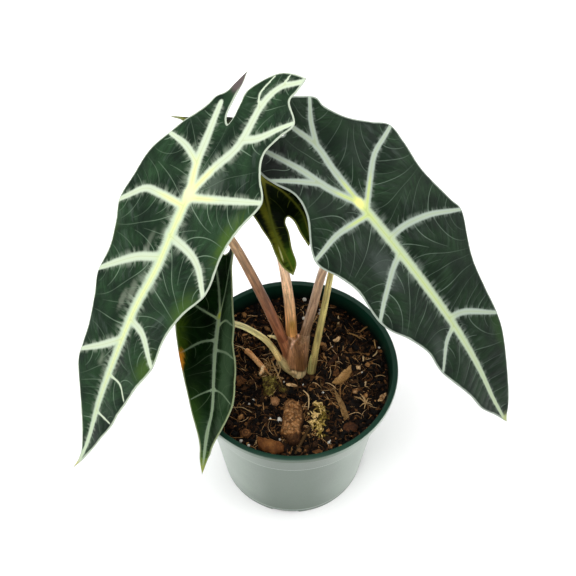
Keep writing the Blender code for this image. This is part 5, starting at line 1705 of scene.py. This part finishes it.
def make_strays():
    """Straws, threads and other bits that lie about."""
    straws = Heap()
    for tone, radii, path in STRAWS:
        straw(straws, path, radii, tone)
    chance = random.Random(31)
    for _ in range(34):
        angle, far = chance.uniform(0, TURN), math.sqrt(chance.random())
        x, y = -10.5 + 6.5 * far * math.cos(angle), 2.0 + 6.5 * far * math.sin(angle)
        heading, size = chance.uniform(0, TURN), chance.uniform(1.2, 3.0)
        ahead = np.array([math.cos(heading), math.sin(heading)]) * size
        bow = np.array([-ahead[1], ahead[0]]) * chance.uniform(-0.5, 0.5)
        thin = chance.uniform(0.14, 0.36)
        path = [(x - ahead[0], y - ahead[1], 0.8), (x + bow[0], y + bow[1], chance.uniform(1.0, 2.6)),
                (x + ahead[0], y + ahead[1], 0.9)]
        straw(straws, path, [0.6 * thin, thin, 0.5 * thin], chance.uniform(0.45, 0.95), 5)
    for x, y in ((33.9, -11.6), (31.3, -14), (38.6, -14.2), (33.9, -19.8), (36.1, -21), (40.6, -18.6),
                 (36, -12.6)):
        straw(straws, [(37.2, -17.2, 1.6), ((37.2 + x) / 2, (y - 17.2) / 2, 2.4), (x, y, 1.2)],
              [0.45, 0.3, 0.12], 0.8, 5)
    straws.build("straws", litter_look(
        "straw", (0.0, 30, 20, 8), (0.3, 70, 50, 24), (0.7, 164, 126, 74), (1.0, 226, 196, 146),
        rough=0.6, low=0.75, high=1.25), "potting_mix", sharp=None)
    bits = Heap()
    for seed, (tone, thick, above, heading, slope, outline) in enumerate(BARK_BITS, 31):
        points, faces, _ = plate(outline, thick, above, heading, slope, 0.02, seed)
        bits.add(points, faces, tone)
    bits.build("bark_bits", litter_look(
        "bark_bit", (0.0, 18, 10, 4), (0.35, 48, 27, 12), (0.7, 112, 72, 36), (1.0, 236, 196, 142),
        scale=0.6, low=0.4, high=1.5, spread=1.2), "bark")
    mossy = Heap()
    for seed, (tone, thick, outline) in enumerate(MOSSY_BITS, 51):
        points, faces, _ = plate(outline, thick, 1.2, 90, 0.15, 0.02, seed, grain=1.0, crown=0.8)
        mossy.add(points, faces, tone)
    mossy.build("mossy_bark", litter_look(
        "mossy_bark", (0.0, 14, 9, 3), (0.35, 54, 38, 14), (0.6, 94, 82, 30), (1.0, 176, 160, 84),
        scale=0.6, low=0.35, high=1.6, spread=2.2), "bark")


# Stage


def make_stage(settings):
    """A pale floor, soft lights and the camera above the front."""
    bpy.ops.mesh.primitive_plane_add(size=60.0)
    floor = bpy.context.object
    floor.name = "floor"
    look = Look("pale_floor", Roughness=0.9)
    grain = look.noise(look.place(), 0.01, 2.0)
    floor.data.materials.append(look.finish(look.brighten(settings.floor_colour[:], 0.995, 1.005, grain)))
    world = bpy.data.worlds.new("studio")
    bpy.context.scene.world = world
    world.use_nodes = True
    nodes, links = world.node_tree.nodes, world.node_tree.links
    spot, parts = nodes.new("ShaderNodeTexCoord"), nodes.new("ShaderNodeSeparateXYZ")
    links.new(spot.outputs["Generated"], parts.inputs[0])
    product = nodes.new("ShaderNodeMath")
    product.operation = "MULTIPLY"
    fades = (2, (0.1, 0.7, 1.15, settings.sky)), (1, (-1.0, -0.2, 0.35, 1.0))
    for index, (axis, row) in enumerate(fades):
        fade = nodes.new("ShaderNodeMapRange")
        for key, value in zip(("From Min", "From Max", "To Min", "To Max"), row):
            fade.inputs[key].default_value = value
        links.new(parts.outputs[axis], fade.inputs["Value"])
        links.new(fade.outputs[0], product.inputs[index])
    links.new(product.outputs[0], nodes["Background"].inputs["Strength"])
    nodes["Background"].inputs["Color"].default_value = (1.0, 1.0, 1.0, 1.0)
    for name, spot, size, power in (("top_light", (-0.25, -0.1, 1.3), 0.9, settings.light),
                                    ("front_light", (-0.5, -1.1, 0.9), 0.8, 0.3 * settings.light),
                                    ("right_light", (1.1, 0.1, 0.8), 0.8, 0.35 * settings.light)):
        lamp = bpy.data.lights.new(name, "AREA")
        lamp.shape, lamp.size, lamp.energy = "SQUARE", size, power
        made = linked(name, lamp)
        made.location = spot
        made.rotation_euler = (Vector((0, 0, 0.12)) - Vector(spot)).to_track_quat("-Z", "Y").to_euler()
    lens = bpy.data.cameras.new("camera")
    lens.lens, lens.sensor_width = settings.lens, 36.0
    camera = linked("camera", lens)
    camera.location = settings.camera_place
    camera.rotation_euler = (settings.camera_tilt, 0.0, 0.0)
    bpy.context.scene.camera = camera
    bpy.context.scene.view_settings.view_transform = "Standard"


# Settings


def colour_setting(name, description, value):
    """A colour that a user may change."""
    return FloatVectorProperty(name=name, description=description, default=value, size=3,
                               subtype="COLOR", min=0.0, max=1.0)


class PotSettings(bpy.types.PropertyGroup):
    """The pot's colours."""

    rim_colour: colour_setting("Rim", "Colour of the rim and the inside", linear(11, 52, 37))
    # The side's pale sage is partly painted reflection, and its paler parts are painted sheen and painted
    # highlights
    side_colour: colour_setting("Side", "Colour of the outer side", linear(81, 100, 84))
    painted_highlight_colour: colour_setting("Bloom", "Colour of the outer side's paler parts", linear(178, 192, 180))
    foot_colour: colour_setting("Foot", "Colour of the low band round the foot", linear(90, 106, 92))


class SoilSettings(bpy.types.PropertyGroup):
    """How fine the mix is and how much is strewn over it."""

    grid: FloatProperty(name="Grid", description="Spacing of the surface's points", default=0.0007,
                        unit="LENGTH", min=0.0003)
    crumbs: IntProperty(name="Crumbs", description="Number of crumbs", default=1500, min=0)
    chips: IntProperty(name="Chips", description="Number of bark flakes", default=420, min=0)
    fibres: IntProperty(name="Fibres", description="Number of root fibres", default=1000, min=0)
    perlite: IntProperty(name="Perlite", description="Number of small perlite grains", default=14, min=0)


class LeafSettings(bpy.types.PropertyGroup):
    """The leaves' colours and fineness."""

    grid: FloatProperty(name="Grid", description="Spacing of a blade's points", default=0.0011,
                        unit="LENGTH", min=0.0005)
    thickness: FloatProperty(name="Thickness", description="Thickness between the veins",
                             default=0.0007, unit="LENGTH", min=0.0004)
    dark: colour_setting("Dark green", "The large leaves' deepest green", linear(12, 30, 17))
    bright: colour_setting("Green", "The large leaves' lighter green", linear(35, 61, 36))
    halo: colour_setting("Vein", "The band along the large leaves' veins", linear(188, 206, 180))
    core: colour_setting("Vein core", "The middle of the large leaves' veins", linear(226, 236, 166))


class StageSettings(bpy.types.PropertyGroup):
    """The floor, the lights and the camera."""

    floor_colour: colour_setting("Floor", "Colour of the floor", (0.98, 0.98, 0.98))
    sky: FloatProperty(name="Sky", description="Strength of the light from above", default=0.72, min=0.0)
    light: FloatProperty(name="Light", description="Power of the main light", default=15.5,
                         unit="POWER", min=0.0)
    lens: FloatProperty(name="Lens", description="Focal length in millimetres", default=75.0, min=1.0)
    camera_place: FloatVectorProperty(name="Camera", description="Where the camera stands", size=3,
                                      default=(-0.002636, -0.322469, 0.617963), subtype="TRANSLATION",
                                      unit="LENGTH")
    camera_tilt: FloatProperty(name="Tilt", description="The camera's turn up from straight down",
                               default=math.radians(35.192), subtype="ANGLE", unit="ROTATION")


# Operators


class PLANT_OT_pot(bpy.types.Operator):
    """Make the nursery pot"""

    bl_idname = "plant.pot"
    bl_label = "Pot"

    def execute(self, context):
        make_pot(context.scene.plant_pot)
        return {"FINISHED"}


class PLANT_OT_soil(bpy.types.Operator):
    """Make the potting mix and all that is strewn on it"""

    bl_idname = "plant.soil"
    bl_label = "Soil"

    def execute(self, context):
        settings = context.scene.plant_soil
        make_crumbs(settings, Ground(make_soil(settings)))
        make_litter()
        return {"FINISHED"}


class PLANT_OT_stalks(bpy.types.Operator):
    """Make the stem, the stalks and the new leaf spike"""

    bl_idname = "plant.stalks"
    bl_label = "Stem and stalks"

    def execute(self, context):
        look = stalk_look("plant_skin")
        make_stem(look)
        for name, route, radii, blade, tints, slot in (
                ("petiole_left", LEFT_ROUTE, [2.7, 2.5, 2.2, 1.9], LEFT_BLADE,
                 [(144, 84, 52), (144, 100, 70), (220, 180, 136), (255, 226, 184)], "petiole"),
                ("petiole_middle", MIDDLE_ROUTE, [2.9, 2.5, 2.1, 1.8], BACK_BLADE,
                 [(234, 168, 94), (255, 216, 176), (222, 184, 146)], "petiole"),
                ("petiole_right", RIGHT_ROUTE, [2.5, 2.2, 2.1, 1.9], RIGHT_BLADE,
                 [(128, 96, 68), (208, 174, 140), (200, 172, 140)], "petiole"),
                ("petiole_low", LOW_ROUTE, [1.75, 1.6, 1.5, 1.4], LOW_BLADE,
                 [(212, 176, 112), (244, 230, 156), (255, 252, 190)], "young_petiole")):
            make_stalk(name, route, radii, blade, tints, look, slot)
        make_spike(look)
        return {"FINISHED"}


class PLANT_OT_large_leaves(bpy.types.Operator):
    """Make the two large hanging leaves"""

    bl_idname = "plant.large_leaves"
    bl_label = "Large leaves"

    def execute(self, context):
        settings = context.scene.plant_leaf
        # Colours of the left leaf: green is painted light shining through the blade near its margin, and
        # the pale streak colour is a painted highlight
        under, green, sheen_streak = (122, 102, 104), (70, 98, 34), (168, 178, 156)
        looks = leaf_looks(
            "left_leaf", dark=settings.dark[:], bright=settings.bright[:], sheen=(76, 90, 80),
            halo=settings.halo[:], side=(198, 212, 188), core=settings.core[:], node=(250, 250, 184),
            pale=(130, 152, 128), margin=(196, 208, 186), under=under, band_reach=(0.62, 1.38),
            core_reach=(0.1, 0.85), far_core=0.8, gloss=0.08,
            # Painted sheen: the grey patch and the pale streaks on the bulges
            patches=[((-10, -10), (8, 8), (92, 104, 92), 0.5), ((5, 50), (2.6, 8), sheen_streak, 0.3),
                     ((8, 56), (2.0, 7), sheen_streak, 0.28), ((6.5, 86), (2.2, 5), sheen_streak, 0.28),
                     ((7.5, 27), (1.8, 7), sheen_streak, 0.2)],
            ends=[((6.5, -57), (7, 13), (92, 82, 80), 1.0), ((4, 143), (8, 10), (186, 184, 112), 0.9),
                  ((4, 146), (4, 5), (120, 92, 60), 1.0)],
            # Painted light shining through the blade near its margin
            margin_tint_and_backlight=[((-33, 8), (9, 20), green, 0.75), ((-27, 44), (9, 13), green, 0.55),
                   ((-19, 76), (8, 11), green, 0.6), ((31, 34), (6, 16), green, 0.35)])
        strengths = [0.4, 0.6, 0.7, 0.8, 1.0]
        band = strengths, [0.5, 1.8, 2.1, 2.4, 3.3]
        make_blade(settings, "blade_left", LEFT_BLADE, looks, "leaf", band,
                   taper=0.8, coarse=1.0, pitch=4.6, seed=3, relief=0.22)
        looks = leaf_looks(
            "right_leaf", dark=[value * 0.8 for value in settings.dark],
            bright=[value * 0.6 for value in settings.bright], sheen=(62, 74, 66),
            halo=linear(182, 198, 168), side=(166, 180, 166), core=linear(198, 214, 136),
            node=(244, 244, 142), pale=(112, 130, 114), margin=(172, 184, 170), under=under,
            band_reach=(0.68, 1.42), core_reach=(0.1, 0.75), far_core=0.6, gloss=0.08, spread=0.8,
            # Painted sheen: the three grey patches. Painted shadow: the near black patch where the left
            # leaf shades this one
            patches=[((12, 30), (9, 16), (70, 80, 74), 0.6), ((14, 80), (6, 12), (66, 78, 70), 0.4),
                     ((-12, -18), (9, 9), (60, 72, 64), 0.15), ((21, -40), (13, 26), (3, 10, 5), 0.85)],
            ends=[((2, 150), (5, 7), (180, 190, 130), 0.9)],
            margin_tint_and_backlight=[((-20, 104), (7, 18), (40, 74, 24), 0.5)])
        band = strengths, [0.4, 1.3, 1.6, 1.8, 2.6]
        make_blade(settings, "blade_right", RIGHT_BLADE, looks, "leaf", band,
                   taper=0.72, coarse=1.0, pitch=4.8, seed=5, relief=0.22)
        return {"FINISHED"}


class PLANT_OT_low_leaf(bpy.types.Operator):
    """Make the folded leaf that hangs low at the left, whose very dark green is partly painted shade"""

    bl_idname = "plant.low_leaf"
    bl_label = "Low leaf"

    def execute(self, context):
        looks = leaf_looks(
            # The very dark greens are partly painted shade
            "low_leaf", dark=linear(1, 15, 0), bright=linear(9, 34, 4), sheen=(30, 46, 28),
            halo=linear(142, 162, 134), side=(100, 120, 94), core=linear(150, 170, 122),
            node=(160, 170, 52), pale=(78, 98, 70), margin=(150, 164, 120), under=(96, 88, 78),
            band_reach=(0.7, 1.4), core_reach=(0.1, 0.9), far_core=0.4, gloss=0.02, spread=0.45,
            # The first patch is painted light and sheen on the half that faces the light
            patches=[((-11, 20), (9, 60), (58, 82, 54), 0.8), ((4, 62), (9, 22), (44, 68, 42), 0.8),
                     ((9, 54), (7, 24), (44, 72, 20), 0.8), ((4, 92), (12, 26), (84, 116, 40), 0.9)],
            ends=[((17.5, 27), (3.2, 9), (204, 134, 40), 1.0), ((7, 70), (1.5, 2), (204, 134, 40), 0.9),
                  ((4, 94), (6, 15), (150, 160, 66), 0.8)],
            margin_tint_and_backlight=[((21, 24), (9, 42), (60, 84, 16), 1.0)])
        make_blade(context.scene.plant_leaf, "blade_low", LOW_BLADE, looks, "dark_leaf",
                   ([0.4, 0.5, 0.8], [0.4, 0.6, 1.4]), taper=0.75, coarse=0.85, pitch=4.6, seed=7,
                   relief=0.16)
        return {"FINISHED"}


class PLANT_OT_back_leaf(bpy.types.Operator):
    """Make the leaf at the back, whose near black green is partly painted shade under the two large leaves
    """

    bl_idname = "plant.back_leaf"
    bl_label = "Back leaf"

    def execute(self, context):
        olive = (104, 108, 26)
        looks = leaf_looks(
            # The near black greens are partly painted shade under the two large leaves
            "back_leaf", dark=linear(1, 6, 0), bright=linear(16, 28, 4), sheen=(30, 36, 22),
            halo=linear(92, 98, 30), side=(78, 88, 26), core=linear(124, 124, 44), node=(126, 128, 46),
            pale=(92, 104, 38), margin=(124, 132, 70), under=(132, 116, 118), band_reach=(0.3, 1.3),
            core_reach=(0.1, 0.8), far_core=0.6, gloss=0.02,
            patches=[((-6, -14), (2.6, 16), olive, 0.95), ((-5.5, -34), (3, 13), olive, 0.7),
                     ((-1, -41), (6, 10), (62, 90, 20), 0.9), ((9, -30), (4, 9), (46, 66, 14), 0.7),
                     # The thin cream line along the vein is a painted highlight
                     ((-5.6, -37), (0.5, 5), (190, 190, 132), 0.8)],
            margin_tint_and_backlight=[((17, -10), (7, 16), (88, 84, 20), 0.8)])
        make_blade(context.scene.plant_leaf, "blade_back", BACK_BLADE, looks, "dark_leaf",
                   ([0.4, 0.5, 0.6, 0.8], [0.4, 0.6, 0.9, 1.4]), taper=0.4, coarse=0.9, pitch=3.8, seed=9,
                   relief=0.18)
        return {"FINISHED"}


class PLANT_OT_stage(bpy.types.Operator):
    """Make the floor, the lights and the camera"""

    bl_idname = "plant.stage"
    bl_label = "Stage"

    def execute(self, context):
        make_stage(context.scene.plant_stage)
        return {"FINISHED"}


class PLANT_PT_panel(bpy.types.Panel):
    """Lists the pieces of the plant"""

    bl_label = "Mask plant"
    bl_idname = "PLANT_PT_panel"
    bl_space_type = "VIEW_3D"
    bl_region_type = "UI"
    bl_category = "Mask plant"

    def draw(self, context):
        for operator in OPERATORS:
            self.layout.operator(operator.bl_idname)
        for key in SETTINGS:
            box = self.layout.box()
            settings = getattr(context.scene, key)
            for name in settings.__annotations__:
                box.prop(settings, name)


OPERATORS = (PLANT_OT_pot, PLANT_OT_soil, PLANT_OT_stalks, PLANT_OT_large_leaves, PLANT_OT_low_leaf,
             PLANT_OT_back_leaf, PLANT_OT_stage)
SETTINGS = {"plant_pot": PotSettings, "plant_soil": SoilSettings, "plant_leaf": LeafSettings,
            "plant_stage": StageSettings}


def register():
    """Register the settings, the operators and the panel."""
    for key, group in SETTINGS.items():
        bpy.utils.register_class(group)
        setattr(bpy.types.Scene, key, PointerProperty(type=group))
    for item in (*OPERATORS, PLANT_PT_panel):
        bpy.utils.register_class(item)


def unregister():
    """Take the settings, the operators and the panel away again."""
    for item in (PLANT_PT_panel, *reversed(OPERATORS)):
        bpy.utils.unregister_class(item)
    for key, group in SETTINGS.items():
        delattr(bpy.types.Scene, key)
        bpy.utils.unregister_class(group)


def main():
    """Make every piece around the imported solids."""
    register()
    for operator in OPERATORS:
        area, name = operator.bl_idname.split(".")
        getattr(getattr(bpy.ops, area), name)()


if __name__ == "__main__":
    main()
